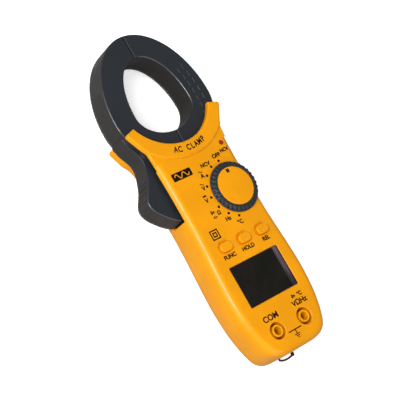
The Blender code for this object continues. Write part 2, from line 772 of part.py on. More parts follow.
def fixed_jaw():
    ring = jaw_sector(0, 0, JAW_GAP)
    housing = prism("fixed_jaw_housing", ring, [(JAW_SHELL_Z, 0)] + front_fillet(JAW_FRONT_Z, JAW_EDGE, 1))
    cut(housing, jaw_hollow(), core_window(True), core_window(False))
    width, height, centre = JAW_TAB
    add(housing, slab("tab", rounded_box(width, height, 1.5, centre), *JAW_TAB_Z))
    for centre in JAW_SCREWS:
        cut(housing, cylinder("hole", centre, SCREW_HOLE_R, 10, 19, 12))
    finish(housing, jaw_black())
    cover = prism("fixed_jaw_back_cover", ring, rear_fillet(JAW_BACK_Z, 0.7, 1) + [(JAW_COVER_Z, 0)])
    finish(cover, jaw_black())


def moving_jaw():
    """Jaw, hub and trigger in one moulding, and the cover over its back."""
    ring = mirrored(jaw_sector(0, 0, JAW_GAP))
    neck = NECK_LEFT + arc(PIVOT, HUB_R, 180, 360, 8) + NECK_RIGHT
    housing = prism("moving_jaw_housing", ring, [(JAW_SHELL_Z, 0)] + front_fillet(JAW_FRONT_Z, JAW_EDGE, 1))
    add(housing,
        slab("neck", neck, JAW_SHELL_Z + 0.05, JAW_FRONT_Z - 0.02),
        prism("lever", lever_outline(),
              [(JAW_SHELL_Z + 0.02, 0)] + front_fillet(LEVER_FRONT_Z, JAW_EDGE, 1)))
    lever_hollow = slab("lever_hollow", LEVER_HOLLOW, 11, LEVER_HOLLOW_TOP_Z)
    cut(housing, flipped(jaw_hollow()), flipped(core_window(True)), flipped(core_window(False)),
        lever_hollow, cylinder("pivot_bore", PIVOT, PIVOT_BORE_R, 10, 27, 24))
    finish(housing, jaw_black())

    cover = prism("moving_jaw_back_cover", ring, rear_fillet(JAW_BACK_Z, 0.7, 1) + [(JAW_COVER_Z, 0)])
    add(cover,
        slab("neck", neck, JAW_BACK_Z + 0.02, JAW_COVER_Z - 0.02),
        prism("lever", lever_outline(),
              rear_fillet(JAW_BACK_Z + 0.04, 0.7, 1) + [(JAW_COVER_Z - 0.04, 0)]))
    add(cover, cylinder("peg", LEVER_PEG, LEVER_PEG_R, 7.2, 11, 12))
    cut(cover, cylinder("pivot_bore", PIVOT, PIVOT_BORE_R, 9, 13, 24))
    finish(cover, jaw_black())
    return housing, cover


def half_core(name):
    return slab(name, jaw_sector(CORE_INSET, CORE_INSET, JAW_GAP + 0.1), *CORE_Z)


def half_coil(name):
    """Winding on its bobbin: a sleeve around the middle of a half core."""
    edge = JAW_SKIN + 0.25
    coil = slab(name, jaw_sector(edge, edge, 0, -38, 34, 12), *COIL_Z)
    passage = CORE_INSET - 0.3
    cut(coil, slab("core_passage", jaw_sector(passage, passage, 0, -60, 60, 20),
                   CORE_Z[0] - 0.3, CORE_Z[1] + 0.3))
    return coil


def jaw_magnetics():
    finish(half_core("fixed_core"), core_iron())
    finish(half_coil("fixed_coil"), copper())
    core = finish(flipped(half_core("moving_core")), core_iron())
    coil = finish(flipped(half_coil("moving_coil")), copper())
    return core, coil


def pivot_pin():
    return finish(lathe("jaw_pivot_pin", [(PIVOT_PIN_R - 0.3, 3.5), (PIVOT_PIN_R, 3.8),
                                          (PIVOT_PIN_R, 27.0), (PIVOT_PIN_R - 0.3, 27.3)],
                        24, PIVOT), steel())


def return_spring():
    """Torsion spring around the pivot boss; one leg in the case, one against the lever's peg."""
    wire, turns, radius, low, high = 0.4, 2.67, 5.3, 5.4, 8.8
    coil = [(x, y, z) for x, y, z in coil_path(PIVOT, radius, radius, low, high, turns)]
    case_leg = [(PIVOT[0] + radius, 93.6, low), (PIVOT[0] + radius, 98, low)]
    leg_x = LEVER_PEG[0] + LEVER_PEG_R + 0.3 + wire
    lever_leg = [(leg_x, 96.2, high), (leg_x, 91.6, high)]
    return finish(sweep("jaw_return_spring", case_leg + coil + lever_leg, wire, 5), steel())


# ---------------------------------------------------------------- selector

def selector_dial():
    """Knurled ring over a smooth skirt, on its shaft, and the cap on top."""
    per_tooth = 3
    steps = DIAL_TEETH * per_tooth
    shape = [(14.1, 28.3, 0), (14.1, 28.8, 0), (13.2, 28.95, 0.7), (13.0, 29.7, 0.7),
             (11.5, 30.7, 0.4), (10.9, 30.7, 0), (10.9, 29.6, 0)]
    rings = []
    for radius, z, ridge in shape:
        ring = []
        for i in range(steps):
            angle = 2 * math.pi * (i - 0.5) / steps
            r = radius + (0 if i % per_tooth == 2 else ridge)
            ring.append((SELECTOR[0] + r * math.cos(angle), SELECTOR[1] + r * math.sin(angle), z))
        rings.append(ring)
    dial = loft("selector_dial_ring", rings)
    add(dial, lathe("shaft", [(2.2, 21.4), (2.2, 24.8), (5.0, 24.8), (5.0, 29.0)], 24, SELECTOR))
    finish(dial, dial_grey())

    cap = lathe("selector_dial_cap", [(10.6, 29.9), (10.6, 30.5), (10.2, 30.8), (6, 30.95)], 48,
                SELECTOR)
    cut(cap, box("index_mark", (SELECTOR[0] - 1.1, SELECTOR[1] + 7.7, 30.4),
                 (SELECTOR[0] + 1.1, SELECTOR[1] + 9.8, 32)))
    return dial, finish(cap, body_yellow())


def selector_rotor():
    rotor = lathe("selector_rotor", [(9.8, 21.0), (9.8, 24.5), (2.45, 24.5), (2.45, 21.0)], 32,
                  SELECTOR, loop=True)
    pieces = [rotor]
    for i, side in enumerate((1, -1)):
        centre = (SELECTOR[0], SELECTOR[1] + 8.4 * side)
        cut(rotor, cylinder("pocket", centre, 1.2, 21.6, 26, 16))
        ball = sphere(f"detent_ball_{i + 1}", (*centre, 23.95), 1.0)
        spring = sweep(f"detent_spring_{i + 1}",
                       coil_path(centre, 0.75, 0.75, 22.0, 22.65, 2.0, 10), 0.16, 5)
        pieces += [finish(ball, steel()), finish(spring, steel())]
    finish(rotor, white_plastic())
    return pieces


def sphere(name, centre, radius):
    bm = bmesh.new()
    bmesh.ops.create_uvsphere(bm, u_segments=10, v_segments=6, radius=radius)
    bmesh.ops.translate(bm, vec=centre, verts=bm.verts)
    return make_object(name, bm)


def rotor_wiper(index):
    """Sprung contact clip under the rotor, bowed down to the board."""
    half_length, width, thickness = 3.0, 1.4, 0.25
    top = [(-half_length, 20.7), (-1.8, 20.7), (-0.6, 20.15), (0.6, 20.15), (1.8, 20.7),
           (half_length, 20.7)]
    profile = [(x, z - thickness) for x, z in top] + list(reversed(top))
    angle = math.radians(90 + 120 * index)
    along = Vector((-math.sin(angle), math.cos(angle), 0))
    out = Vector((math.cos(angle), math.sin(angle), 0))
    centre = Vector((*SELECTOR, 0)) + 6.4 * out
    rings = [[tuple(centre + along * x + out * side + Vector((0, 0, z))) for x, z in profile]
             for side in (-width / 2, width / 2)]
    return finish(loft(f"rotor_wiper_{index + 1}", rings), brass())


# ---------------------------------------------------------------- display, keys and board

def display():
    width, height = WINDOW
    lens = prism("display_lens", rounded_box(width - 0.4, height - 0.4, 0.7, (0, WINDOW_Y)),
                 [(LENS_SEAT_Z + 0.25, 0)] + front_fillet(27.9, 0.25, 1))
    finish(lens, lens_dark())
    glass = slab("display_glass", rounded_box(36, 27.2, 0.3, (0, WINDOW_Y), 1), 22.2, 24.6)
    finish(glass, display_glass())
    frame = slab("display_frame", rounded_box(39.2, 30.4, 1.2, (0, WINDOW_Y), 2), 19.9, 25.5)
    cut(frame, slab("glass_seat", rounded_box(36.6, 27.8, 0.3, (0, WINDOW_Y), 1), 19, 24.9),
        slab("view", rounded_box(32.4, 22.2, 0.3, (0, WINDOW_Y), 1), 24, 26))
    finish(frame, component_black())
    for i, side in enumerate((-1, 1)):
        y = WINDOW_Y + side * 12.2
        strip = box(f"connector_strip_{i + 1}", (-16.5, y - 1.1, 19.9), (16.5, y + 1.1, 21.9))
        finish(strip, strip_grey())


def key(name, index):
    centre = (KEY_X + index * KEY_SPACING, KEY_Y)
    cap = prism(name, stadium(KEY_SIZE, centre),
                [(24.9, -0.9), (25.5, -0.9), (25.5, 0.0)] + front_fillet(KEY_TOP_Z, 0.7, 2))
    add(cap, cylinder("stem", centre, 1.2, 24.2, 25.2, 12))
    return finish(cap, body_yellow())


def key_switch(name, index):
    x = KEY_X + index * KEY_SPACING
    half = SWITCH_HALF_WIDTH
    body = box(name, (x - half, KEY_Y - half, BOARD_TOP_Z + 0.1), (x + half, KEY_Y + half, 22.6))
    add(body, cylinder("plunger", (x, KEY_Y), 1.6, 22.4, 23.3, 12))
    finish(body, component_black())


def main_board():
    board = slab("main_board", board_outline(), BOARD_Z, BOARD_TOP_Z)
    for x, y in CASE_SCREWS[:4]:
        cut(board, cylinder("notch", (x, y), 3.2, 17, 21, 12))
    for x in (-SOCKET_X, SOCKET_X):
        cut(board, cylinder("socket_hole", (x, 0), 6.4, 17, 21, 20))
    for x, y in BOARD_SCREWS:
        cut(board, cylinder("hole", (x, y), 1.2, 17, 21, 8))
    finish(board, board_green())


def chip():
    finish(box("measuring_chip", *CHIP), component_black())


def buzzer():
    made = cylinder("buzzer", BUZZER, 5.2, 12.8, BOARD_Z - 0.3, 20)
    cut(made, cylinder("sound_hole", BUZZER, 0.8, 12, 14.5, 8))
    finish(made, component_black())


def thermistor():
    profile = [(3.4, 14.6), (4.0, 15.2), (4.0, 16.8), (3.4, 17.4)]
    finish(lathe("thermistor", profile, 20, THERMISTOR), thermistor_blue())


def detector_lamp():
    x, y = LAMP
    lamp = lathe("detector_lamp", [(LAMP_FLANGE_R, 24.3), (LAMP_FLANGE_R, 25.4), (LAMP_R, 25.4),
                                   (LAMP_R, 28.0), (LAMP_R - 0.2, 28.4), (0.4, 28.7)], 16, LAMP)
    for side in (-0.7, 0.7):
        path = [(x + side, y, 24.8), (x + side, y, 21.4), (x + side, y - 1, 20.7),
                (x + side, y - 10, 20.3), (x + side, y - 13, 20.05)]
        add(lamp, sweep("lead", path, 0.25, 4))
    return finish(lamp, lamp_red())


def input_socket(name, x):
    """Brass sleeve for a 4 mm plug with a lug bent up to the board."""
    outer_r = SOCKET_BORE_R - 0.15
    sleeve = lathe(name, [(outer_r - 0.3, 9.1), (outer_r, 9.4), (outer_r, SLEEVE_TOP_Z),
                          (PLUG_R, SLEEVE_TOP_Z), (PLUG_R, 10.8)], 20, (x, 0))
    bend = [(1.3, 9.6), (1.3, 10.3), (-7.8, 10.3), (-7.8, 17.75), (-8.6, 17.75), (-8.6, 9.6)]
    lug = loft("lug", [[(x + side, y, z) for y, z in bend] for side in (-1.05, 1.05)])
    add(sleeve, lug)
    return finish(sleeve, brass())


# ---------------------------------------------------------------- strap

def strap_cord():
    """Closed cord loop around the bar in the lower end, with its knot."""
    y, z = STRAP_BAR
    ring = STRAP_BAR_R + CORD_R + 0.3
    x = STRAP_X
    path = [(x - 4.9, y - 0.4, z + ring), (x - 3.6, y + ring * 0.9, z + 1.0),
            (x, y + ring, z), (x + 3.6, y + ring * 0.9, z - 1.0), (x + 4.9, y - 0.4, z - ring),
            (x + 5.4, y - 2.2, z - 1.0), (x + 4.4, y - 3.4, z - 0.2), (x + 1.6, y - 4.1, z),
            (x - 2.0, y - 4.0, z), (x - 4.8, y - 3.0, z + 0.3), (x - 5.4, y - 2.0, z + 1.2)]
    cord = sweep("strap_cord", smooth_curve(path, 2, closed=True), CORD_R, 6, closed=True)
    add(cord, sphere("knot", (x + 4.5, y - 3.3, z - 0.2), 1.15))
    return finish(cord, cord_black())


# ---------------------------------------------------------------- assembly

def build():
    for obj in list(bpy.data.objects):
        bpy.data.objects.remove(obj)

    front_case()
    rear_case()
    for i, (x, y) in enumerate(CASE_SCREWS):
        screw(f"case_screw_{i + 1}", (x, y), 2.7, 3.3, 5.1, 1.15, 20.5)
    cover_parts = [battery_cover(),
                   screw("battery_cover_screw", (0, COVER_SCREW_Y), 2.3, -0.05, 0.7, 1.0, 8.0)]
    attach(axis_empty("battery_cover_slide", 0, COVER_SCREW_Y, 0), *cover_parts)
    battery_cell("battery_1", -CELL_X, True)
    battery_cell("battery_2", CELL_X, False)
    bay_contacts()

    fixed_jaw()
    for i, centre in enumerate(JAW_SCREWS):
        screw(f"jaw_screw_{i + 1}", centre, 2.3, 10.6, 12.1, 1.0, 22.6, False)
    attach(axis_empty("jaw_pivot", *PIVOT, JAW_BACK_Z), *moving_jaw(), *jaw_magnetics())
    pivot_pin()
    return_spring()

    selector_parts = [*selector_dial(), *selector_rotor()] + [rotor_wiper(i) for i in range(3)]
    attach(axis_empty("selector_axis", *SELECTOR, PANEL_Z), *selector_parts)

    display()
    for i, name in enumerate(("function", "hold", "relative")):
        attach(axis_empty(f"key_{name}_axis", KEY_X + (i - 1) * KEY_SPACING, KEY_Y, KEY_TOP_Z),
               key(f"key_{name}", i - 1))
        key_switch(f"key_switch_{i + 1}", i - 1)
    main_board()
    for i, (x, y) in enumerate(BOARD_SCREWS):
        screw(f"board_screw_{i + 1}", (x, y), 1.8, 16.4, 17.7, 0.8, 23.5, False)
    chip()
    buzzer()
    thermistor()
    detector_lamp()
    input_socket("input_socket_common", -SOCKET_X)
    input_socket("input_socket_signal", SOCKET_X)
    attach(axis_empty("strap_bar_axis", STRAP_X, *STRAP_BAR), strap_cord())


build()
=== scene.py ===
"""Looks of the clamp meter: fine shells, jaws, dial, keys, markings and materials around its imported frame.

The meter lies on its back. +Y points to the jaws, +X to the right seen from the front and +Z out of
the front panel. Shapes are written in millimetres; make_object turns them into metres.
"""

import json
import math

import bmesh
import bpy
from mathutils import Matrix, Vector


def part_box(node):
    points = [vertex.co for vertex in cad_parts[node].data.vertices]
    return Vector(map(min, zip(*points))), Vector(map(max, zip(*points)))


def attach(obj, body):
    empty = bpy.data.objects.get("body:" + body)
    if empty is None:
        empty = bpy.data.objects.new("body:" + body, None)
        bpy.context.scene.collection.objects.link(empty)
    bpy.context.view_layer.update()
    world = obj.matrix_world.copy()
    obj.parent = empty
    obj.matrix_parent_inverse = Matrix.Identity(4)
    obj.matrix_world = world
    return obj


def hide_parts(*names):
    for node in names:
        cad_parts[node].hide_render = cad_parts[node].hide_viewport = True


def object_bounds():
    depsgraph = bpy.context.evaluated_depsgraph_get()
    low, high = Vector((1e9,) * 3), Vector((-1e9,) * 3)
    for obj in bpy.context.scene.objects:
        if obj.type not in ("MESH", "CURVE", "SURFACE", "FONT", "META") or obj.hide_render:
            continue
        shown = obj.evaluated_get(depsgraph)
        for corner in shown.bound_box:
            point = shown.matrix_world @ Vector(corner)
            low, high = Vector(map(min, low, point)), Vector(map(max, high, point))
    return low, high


MM = 0.001
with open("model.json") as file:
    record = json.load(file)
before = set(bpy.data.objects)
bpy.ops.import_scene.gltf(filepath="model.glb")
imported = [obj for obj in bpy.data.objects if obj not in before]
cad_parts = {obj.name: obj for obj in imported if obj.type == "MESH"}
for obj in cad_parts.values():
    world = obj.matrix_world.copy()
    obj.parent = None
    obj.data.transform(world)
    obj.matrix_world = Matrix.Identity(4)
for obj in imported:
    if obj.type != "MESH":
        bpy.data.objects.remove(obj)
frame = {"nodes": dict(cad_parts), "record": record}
CAD_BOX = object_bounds()


def corners(node):
    """Lowest and highest corner of a CAD node in millimetres."""
    low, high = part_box(node)
    return low / MM, high / MM


def middle(node):
    low, high = corners(node)
    return (low + high) / 2


def mount_height(name):
    mounts = {mount["name"]: mount for mount in frame["record"]["mounts"]}
    return mounts[name]["pos_m"][2] / MM


# Levels above the flat back, from the frame
PANEL_Z = mount_height("common_socket_face")
COLLAR_Z = corners("front_case")[1].z
SPLIT_Z = corners("front_case")[0].z
CEILING_Z = PANEL_Z - 2.2
JAW_BACK_Z, JAW_COVER_Z = (corner.z for corner in corners("fixed_jaw_back_cover"))
JAW_SHELL_Z, JAW_FRONT_Z = (corner.z for corner in corners("fixed_jaw_housing"))
LEVER_FRONT_Z = JAW_FRONT_Z - 2.7
LENS_LOW_Z, LENS_TOP_Z = (corner.z for corner in corners("display_lens"))
CELL_Z = middle("battery_1").z

# Body, seen from the front
WALL = 2.2
SEAM = 0.16
SIDE_CURVE = [(0, -12.8), (9, -12.7), (15, -11.6), (19.2, -8.6), (21.9, -3.2), (23.9, 3.5),
              (25.4, 11.5), (26.2, 22), (26.1, 32), (25.4, 44), (24.6, 56), (24.2, 70),
              (24.2, 88), (24.5, 100)]
BODY_TOP_CORNER = (25.4, 114.0)      # hidden inside the collar
FRONT_FILLET = 4.0
REAR_FILLET = 5.0
WIDEST_Z = 24.0                      # the sides curve in from here to the back
BACK_NARROWING = 0.2                 # share of the width that the back loses
NARROWING_FADE_Y = (93.0, 114.0)     # fades out towards the horns
COLLAR_CENTRE = (0.0, 135.4)
BORE_CENTRE = (0.0, 136.1)
BORE_R = 28.0
HORN_FLARE = [(24.6, 107.5), (25.1, 109.8), (27.3, 113.8)]
COLLAR_OUTER_R = 35.8
COLLAR_TEXT_R = 31.3
COLLAR_END_Y = 109.0                 # where the collar's lower edge meets the horns' edges
HORN_TIPS = ((31.7, 120.5), (31.7, 122.3))   # outer corners, right and left
HORN_CORNER_R = 1.4
HORN_LEAN = 33.0                     # degrees between the horn's edge and +Y at its tip
HORN_SLOPE = 17.0                    # degrees between the horn's end and X
HORN_INNER_X = 20.0                  # inside the bore
JAW_PASSAGE_R = 33.9
BACK_SLOPE_Y = 92.0                  # the back slopes up from here towards the horns
BACK_SLOPE_RISE = 5.5 / 32.0

# Jaws: two half ellipses, joined at JAW_MID_Y
JAW_MID_Y = 130.0
JAW_OUTER = (corners("fixed_jaw_housing")[1].x, 43.5, 27.2)
JAW_HOLE = (18.2, 30.0, 13.8)
JAW_GAP = corners("fixed_jaw_housing")[0].x
JAW_SKIN = 1.8
JAW_EDGE = 0.8
CORE_INSET = 3.4
CORE_Z = (corners("fixed_core")[0].z, corners("fixed_core")[1].z)
PIVOT = middle("jaw_pivot_pin").xy
PIVOT_BORE_R = 2.6
HUB_R = 5.6
LEVER_PEG = (-19.0, 93.2)
LEVER_PEG_R = 0.9
TRIGGER_CURVE = [(-31.2, 123), (-29.9, 117.5), (-27.5, 112.4), (-26.6, 108), (-27.6, 103),
                 (-30.6, 96.2), (-34.9, 89.8), (-36.2, 86), (-35.0, 82), (-32.2, 78.4),
                 (-28.0, 74.4), (-23.4, 71.7), (-20.2, 72.2)]
LEVER_INNER_EDGE = [(-17.8, 78), (-12.4, 94.4)]
LEVER_HOLLOW = [(-33.6, 86.4), (-31.6, 81.6), (-23.4, 75), (-20.8, 76), (-15.6, 92), (-23.6, 98.4),
                (-28.4, 96)]

# Front panel
SOCKETS = [middle("input_socket_common").x, middle("input_socket_signal").x]
SOCKET_TUBE_R = 6.0
SOCKET_GROOVE = (3.2, 4.6)
SOCKET_GROOVE_Z = 12.0
SOCKET_BORE_R = 2.75
SOCKET_MOUTH_R = 2.15
SLEEVE_TOP_Z = corners("input_socket_signal")[1].z
PLUG_R = 2.0
WINDOW = (33.5, 23.3)
WINDOW_Y = middle("display_lens").y
LENS_SEAT_Z = LENS_LOW_Z - 0.25
KEYS = {"function_key": "key_function", "hold_key": "key_hold", "relative_key": "key_relative"}
KEY_SIZE = (7.8, 5.2)
KEY_TOP_Z = corners("key_hold")[1].z
DIAL = middle("selector_dial_cap").xy
DIAL_BORE_R = 5.15
DIAL_TEETH = 32
LAMP_R = 1.1
LAMP_FLANGE_R = 1.5
LAMP = (corners("detector_lamp")[0].x + LAMP_FLANGE_R, corners("detector_lamp")[1].y - LAMP_FLANGE_R)
LAMP_TOP_Z = corners("detector_lamp")[1].z

# Fasteners and battery bay
CASE_SCREWS = [f"case_screw_{i}" for i in range(1, 6)]
BOARD_SCREWS = [f"board_screw_{i}" for i in range(1, 5)]
JAW_SCREWS = ["jaw_screw_1", "jaw_screw_2"]
BOSSES = ((CASE_SCREWS, 2.8, SPLIT_Z + 0.1, 26.6),       # screws, radius, lowest and highest z
          (BOARD_SCREWS, 2.4, 19.9, 26.5), (JAW_SCREWS, 2.9, 17.4, 26.4))
PILOT_HOLES = ((CASE_SCREWS, 1.3, SPLIT_Z - 1, 22), (BOARD_SCREWS, 0.98, 18, 25),
               (JAW_SCREWS, 1.2, 16, 25))
BAY_X = 11.2
BAY_Y = (7.6, 56.2)
BAY_TOP_Z = 13.9
BAY_WALL = 1.3
COVER_X = corners("battery_cover")[1].x
COVER_Y = (corners("battery_cover")[0].y, corners("battery_cover")[1].y)
COVER_THICKNESS = 1.6
COVER_SCREW = middle("battery_cover_screw").xy
STRAP_X = 3.0
STRAP_BAR = (-10.9, 5.0)             # y and z of the bar's axis
STRAP_BAR_R = 1.1
CORD_R = 0.55
CORD_STRANDS = 3

INK_Z = 0.03                         # how far the printed markings stand above the panel
INK_SPREAD = 0.145                   # widens the strokes of the lettering
WELD = 0.0005


# ---------------------------------------------------------------- outlines

def around(centre, radius, angle):
    return (centre[0] + radius * math.cos(angle), centre[1] + radius * math.sin(angle))


def arc(centre, radius, start, end, steps):
    """Points on an arc, angles in degrees, both ends included."""
    angles = [math.radians(start + (end - start) * i / steps) for i in range(steps + 1)]
    return [around(centre, radius, angle) for angle in angles]


def smooth_curve(points, steps, closed=False):
    """Catmull-Rom curve through points of any dimension."""
    count = len(points)
    spans = count if closed else count - 1

    def control(index):
        return Vector(points[index % count] if closed else points[min(max(index, 0), count - 1)])

    result = []
    for span in range(spans):
        a, b, c, d = (control(span + k) for k in (-1, 0, 1, 2))
        for i in range(steps):
            t = i / steps
            result.append(tuple(0.5 * (2 * b + (c - a) * t + (2 * a - 5 * b + 4 * c - d) * t ** 2
                                       + (3 * b - a - 3 * c + d) * t ** 3)))
    return result if closed else result + [tuple(points[-1])]


def mirrored(points):
    return [(-x, y) for x, y in reversed(points)]


def rounded_box(width, height, radius, centre=(0, 0), steps=6):
    """Rectangle with round corners, anticlockwise."""
    x, y = width / 2 - radius, height / 2 - radius
    quarters = [(x, y, 0), (-x, y, 90), (-x, -y, 180), (x, -y, 270)]
    return [point for cx, cy, start in quarters
            for point in arc((centre[0] + cx, centre[1] + cy), radius, start, start + 90, steps)]


def stadium(size, centre, steps=16):
    width, height = size
    reach = (width - height) / 2
    return (arc((centre[0] + reach, centre[1]), height / 2, -90, 90, steps)
            + arc((centre[0] - reach, centre[1]), height / 2, 90, 270, steps))


def body_outline(distance=0.0):
    """Outline of the body, moved inwards; it is smoothed after the move, so that it never folds."""
    right = smooth_curve(SIDE_CURVE, 2) + [BODY_TOP_CORNER]
    moved = inset(right + mirrored(right)[:-1], distance)[:len(right)]
    right = smooth_curve(moved[:-1], 4) + [moved[-1]]
    return right + mirrored(right)[:-1]


def horn_edge(tip):
    """Right edge of a horn, from the body's side up to its tip, and along its end into the bore."""
    lean, slope = math.radians(HORN_LEAN), math.radians(HORN_SLOPE)
    side_normal = Vector((math.cos(lean), -math.sin(lean)))
    end_normal = Vector((math.sin(slope), math.cos(slope)))
    reach = HORN_CORNER_R / (1 + side_normal.dot(end_normal))
    corner = arc(Vector(tip) - reach * (side_normal + end_normal), HORN_CORNER_R,
                 -HORN_LEAN, 90 - HORN_SLOPE, 9)
    inner = (HORN_INNER_X, tip[1] + (tip[0] - HORN_INNER_X) * math.tan(slope))
    return smooth_curve(HORN_FLARE + corner[:1], 7)[:-1] + corner + [inner]


def horns_outline():
    """Both horns with their roots inside the body; the jaw bore is cut out of them afterwards."""
    right, left = ([(17, 98), (24.0, 102.4)] + horn_edge(tip) for tip in HORN_TIPS)
    return right + mirrored(left)


def collar_outline():
    """Raised band around the jaws: between the horns' edges and a shallow arc across the panel."""
    right, left = ([point for point in horn_edge(tip) if point[1] >= COLLAR_END_Y] for tip in HORN_TIPS)
    end_x, end_y = right[0]
    bottom_y = COLLAR_CENTRE[1] - COLLAR_OUTER_R
    rise = end_y - bottom_y
    radius = (end_x ** 2 + rise ** 2) / (2 * rise)
    reach = math.degrees(math.asin(end_x / radius))
    lower = arc((0, bottom_y + radius), radius, -90 - reach, -90 + reach, 64)
    return right + mirrored(left) + lower[1:-1]


def jaw_ring(outer_inset, hole_inset, end_x, steps=96):
    """Right half of the jaw ring; the outer and the hole ellipse are moved into the ring."""

    def half_ellipse(axes, distance):
        half_width = axes[0] - distance
        reach = math.acos(end_x / half_width)
        points = []
        for i in range(steps + 1):
            angle = reach * (2 * i / steps - 1)
            height = (axes[1] if angle > 0 else axes[2]) - distance
            points.append((half_width * math.cos(angle), JAW_MID_Y + height * math.sin(angle)))
        return points

    return half_ellipse(JAW_OUTER, outer_inset) + half_ellipse(JAW_HOLE, -hole_inset)[::-1]


def lever_outline():
    hub_right = arc(PIVOT, HUB_R, -30, 60, 16)
    return smooth_curve(TRIGGER_CURVE, 10) + LEVER_INNER_EDGE + hub_right + [(-18, 113), (-24, 122)]


def cover_outline(clearance):
    """Plate over the battery bay with a narrower tongue for its screw."""
    x, low, high = COVER_X, COVER_Y[0], COVER_Y[1]
    shoulder, tongue = 58.4, 4.6
    right = (arc((x - 2, low + 2), 2, -90, 0, 8) + arc((x - 2, shoulder - 2), 2, 0, 90, 8)
             + [(tongue + 1, shoulder)] + arc((tongue - 2, high - 2), 2, 0, 90, 8))
    return inset(right + mirrored(right), clearance)


def inset(outline, distance):
    """Moves an anticlockwise outline inwards, keeping its corners sharp."""
    count = len(outline)
    result = []
    for i in range(count):
        here = Vector(outline[i])
        before = (here - Vector(outline[i - 1])).normalized()
        after = (Vector(outline[(i + 1) % count]) - here).normalized()
        left_before, left_after = Vector((-before.y, before.x)), Vector((-after.y, after.x))
        bisector = (left_before + left_after).normalized()
        result.append(tuple(here + bisector * (distance / max(bisector.dot(left_after), 0.2))))
    return result


# ---------------------------------------------------------------- solids

def placed(name, data):
    """New object in the scene."""
    obj = bpy.data.objects.new(name, data)
    bpy.context.scene.collection.objects.link(obj)
    return obj


def object_from(name, bm):
    mesh = bpy.data.meshes.new(name)
    bm.to_mesh(mesh)
    bm.free()
    return placed(name, mesh)


def edit_mesh(mesh, change):
    """Runs a change on a mesh's bmesh."""
    bm = bmesh.new()
    bm.from_mesh(mesh)
    change(bm)
    bm.to_mesh(mesh)
    bm.free()


def make_object(name, bm):
    """Object of a solid that is drawn in millimetres, with its faces turned outwards."""
    bmesh.ops.recalc_face_normals(bm, faces=bm.faces)
    bmesh.ops.scale(bm, vec=(MM, MM, MM), verts=bm.verts)
    if bm.calc_volume(signed=True) < 0:
        bmesh.ops.reverse_faces(bm, faces=bm.faces)
    return object_from(name, bm)


def loft(name, rings, loop=False):
    """Skin over rings of equal length, closed by end caps or, as a loop, by joining the ends."""
    bm = bmesh.new()
    rows = [[bm.verts.new(point) for point in ring] for ring in rings]
    pairs = list(zip(rows, rows[1:])) + ([(rows[-1], rows[0])] if loop else [])
    count = len(rings[0])
    for low, high in pairs:
        for i in range(count):
            j = (i + 1) % count
            bm.faces.new((low[i], low[j], high[j], high[i]))
    if not loop:
        bm.faces.new(reversed(rows[0]))
        bm.faces.new(rows[-1])
    return make_object(name, bm)


def prism(name, outline, levels):
    """Stack of insets of one outline: levels are (z, inset) pairs, from low to high."""
    rings = []
    for z, distance in levels:
        ring = outline(distance) if callable(outline) else inset(outline, distance)
        rings.append([(x, y, z) for x, y in ring])
    return loft(name, rings)


def slab(name, outline, low, high):
    return prism(name, outline, [(low, 0), (high, 0)])


def block(name, low, high):
    outline = [(low[0], low[1]), (high[0], low[1]), (high[0], high[1]), (low[0], high[1])]
    return slab(name, outline, low[2], high[2])


def front_fillet(top, radius, steps):
    """Levels that round a solid's upper edge."""
    angles = [math.pi / 2 * i / steps for i in range(steps + 1)]
    return [(top - radius + radius * math.sin(a), radius * (1 - math.cos(a))) for a in angles]


def rear_fillet(bottom, radius, steps):
    levels = front_fillet(0, radius, steps)
    return [(bottom - z, distance) for z, distance in reversed(levels)]


def lip(radius, surface, rounding, steps=5):
    """(radius, z) points that widen a bore by a rounded lip at a surface above it."""
    angles = [math.pi / 2 * i / steps for i in range(steps + 1)]
    return [(radius + rounding * (1 - math.cos(a)), surface - rounding + rounding * math.sin(a))
            for a in angles]


def lathe(name, profile, steps, centre=(0, 0), loop=False):
    """Solid of revolution about a line parallel to Z; profile is (radius, z) pairs."""
    rings = [[(*around(centre, r, 2 * math.pi * i / steps), z) for i in range(steps)]
             for r, z in profile]
    return loft(name, rings, loop)


def cylinder(name, centre, radius, low, high, steps=40):
    return lathe(name, [(radius, low), (radius, high)], steps, centre)


def path_frames(points, closed):
    """A point, side and normal direction at each step of a path, carried along without twist."""
    count = len(points)
    normal = Vector((0, 0, 1))
    frames = []
    for i, point in enumerate(points):
        ahead = points[(i + 1) % count] if closed or i + 1 < count else point
        behind = points[i - 1] if closed or i > 0 else point
        tangent = (ahead - behind).normalized()
        side = normal.cross(tangent)
        if side.length < 1e-3:
            side = Vector((1, 0, 0)).cross(tangent)
        side.normalize()
        normal = tangent.cross(side).normalized()
        frames.append((point, side, normal))
    return frames


def sweep(name, path, radius, sides, closed=False):
    """Round wire along a path."""
    rings = []
    for point, side, normal in path_frames([Vector(p) for p in path], closed):
        turns = [2 * math.pi * k / sides for k in range(sides)]
        rings.append([tuple(point + radius * (side * math.cos(t) + normal * math.sin(t)))
                      for t in turns])
    return loft(name, rings, closed)


def joined(name, pieces):
    """Gathers separate solids in one object."""
    bm = bmesh.new()
    for piece in pieces:
        bm.from_mesh(piece.data)
        bpy.data.objects.remove(piece)
    return object_from(name, bm)


def combine(target, tools, operation):
    """Applies one Boolean with tools that don't touch one another, and removes them."""
    tool = joined("tool", tools) if len(tools) > 1 else tools[0]
    modifier = target.modifiers.new(operation.lower(), "BOOLEAN")
    modifier.operation = operation
    modifier.object = tool
    bpy.context.view_layer.objects.active = target
    bpy.ops.object.modifier_apply(modifier=modifier.name)
    bpy.data.objects.remove(tool)


def cut(target, *tools):
    combine(target, tools, "DIFFERENCE")


def add(target, *tools):
    combine(target, tools, "UNION")


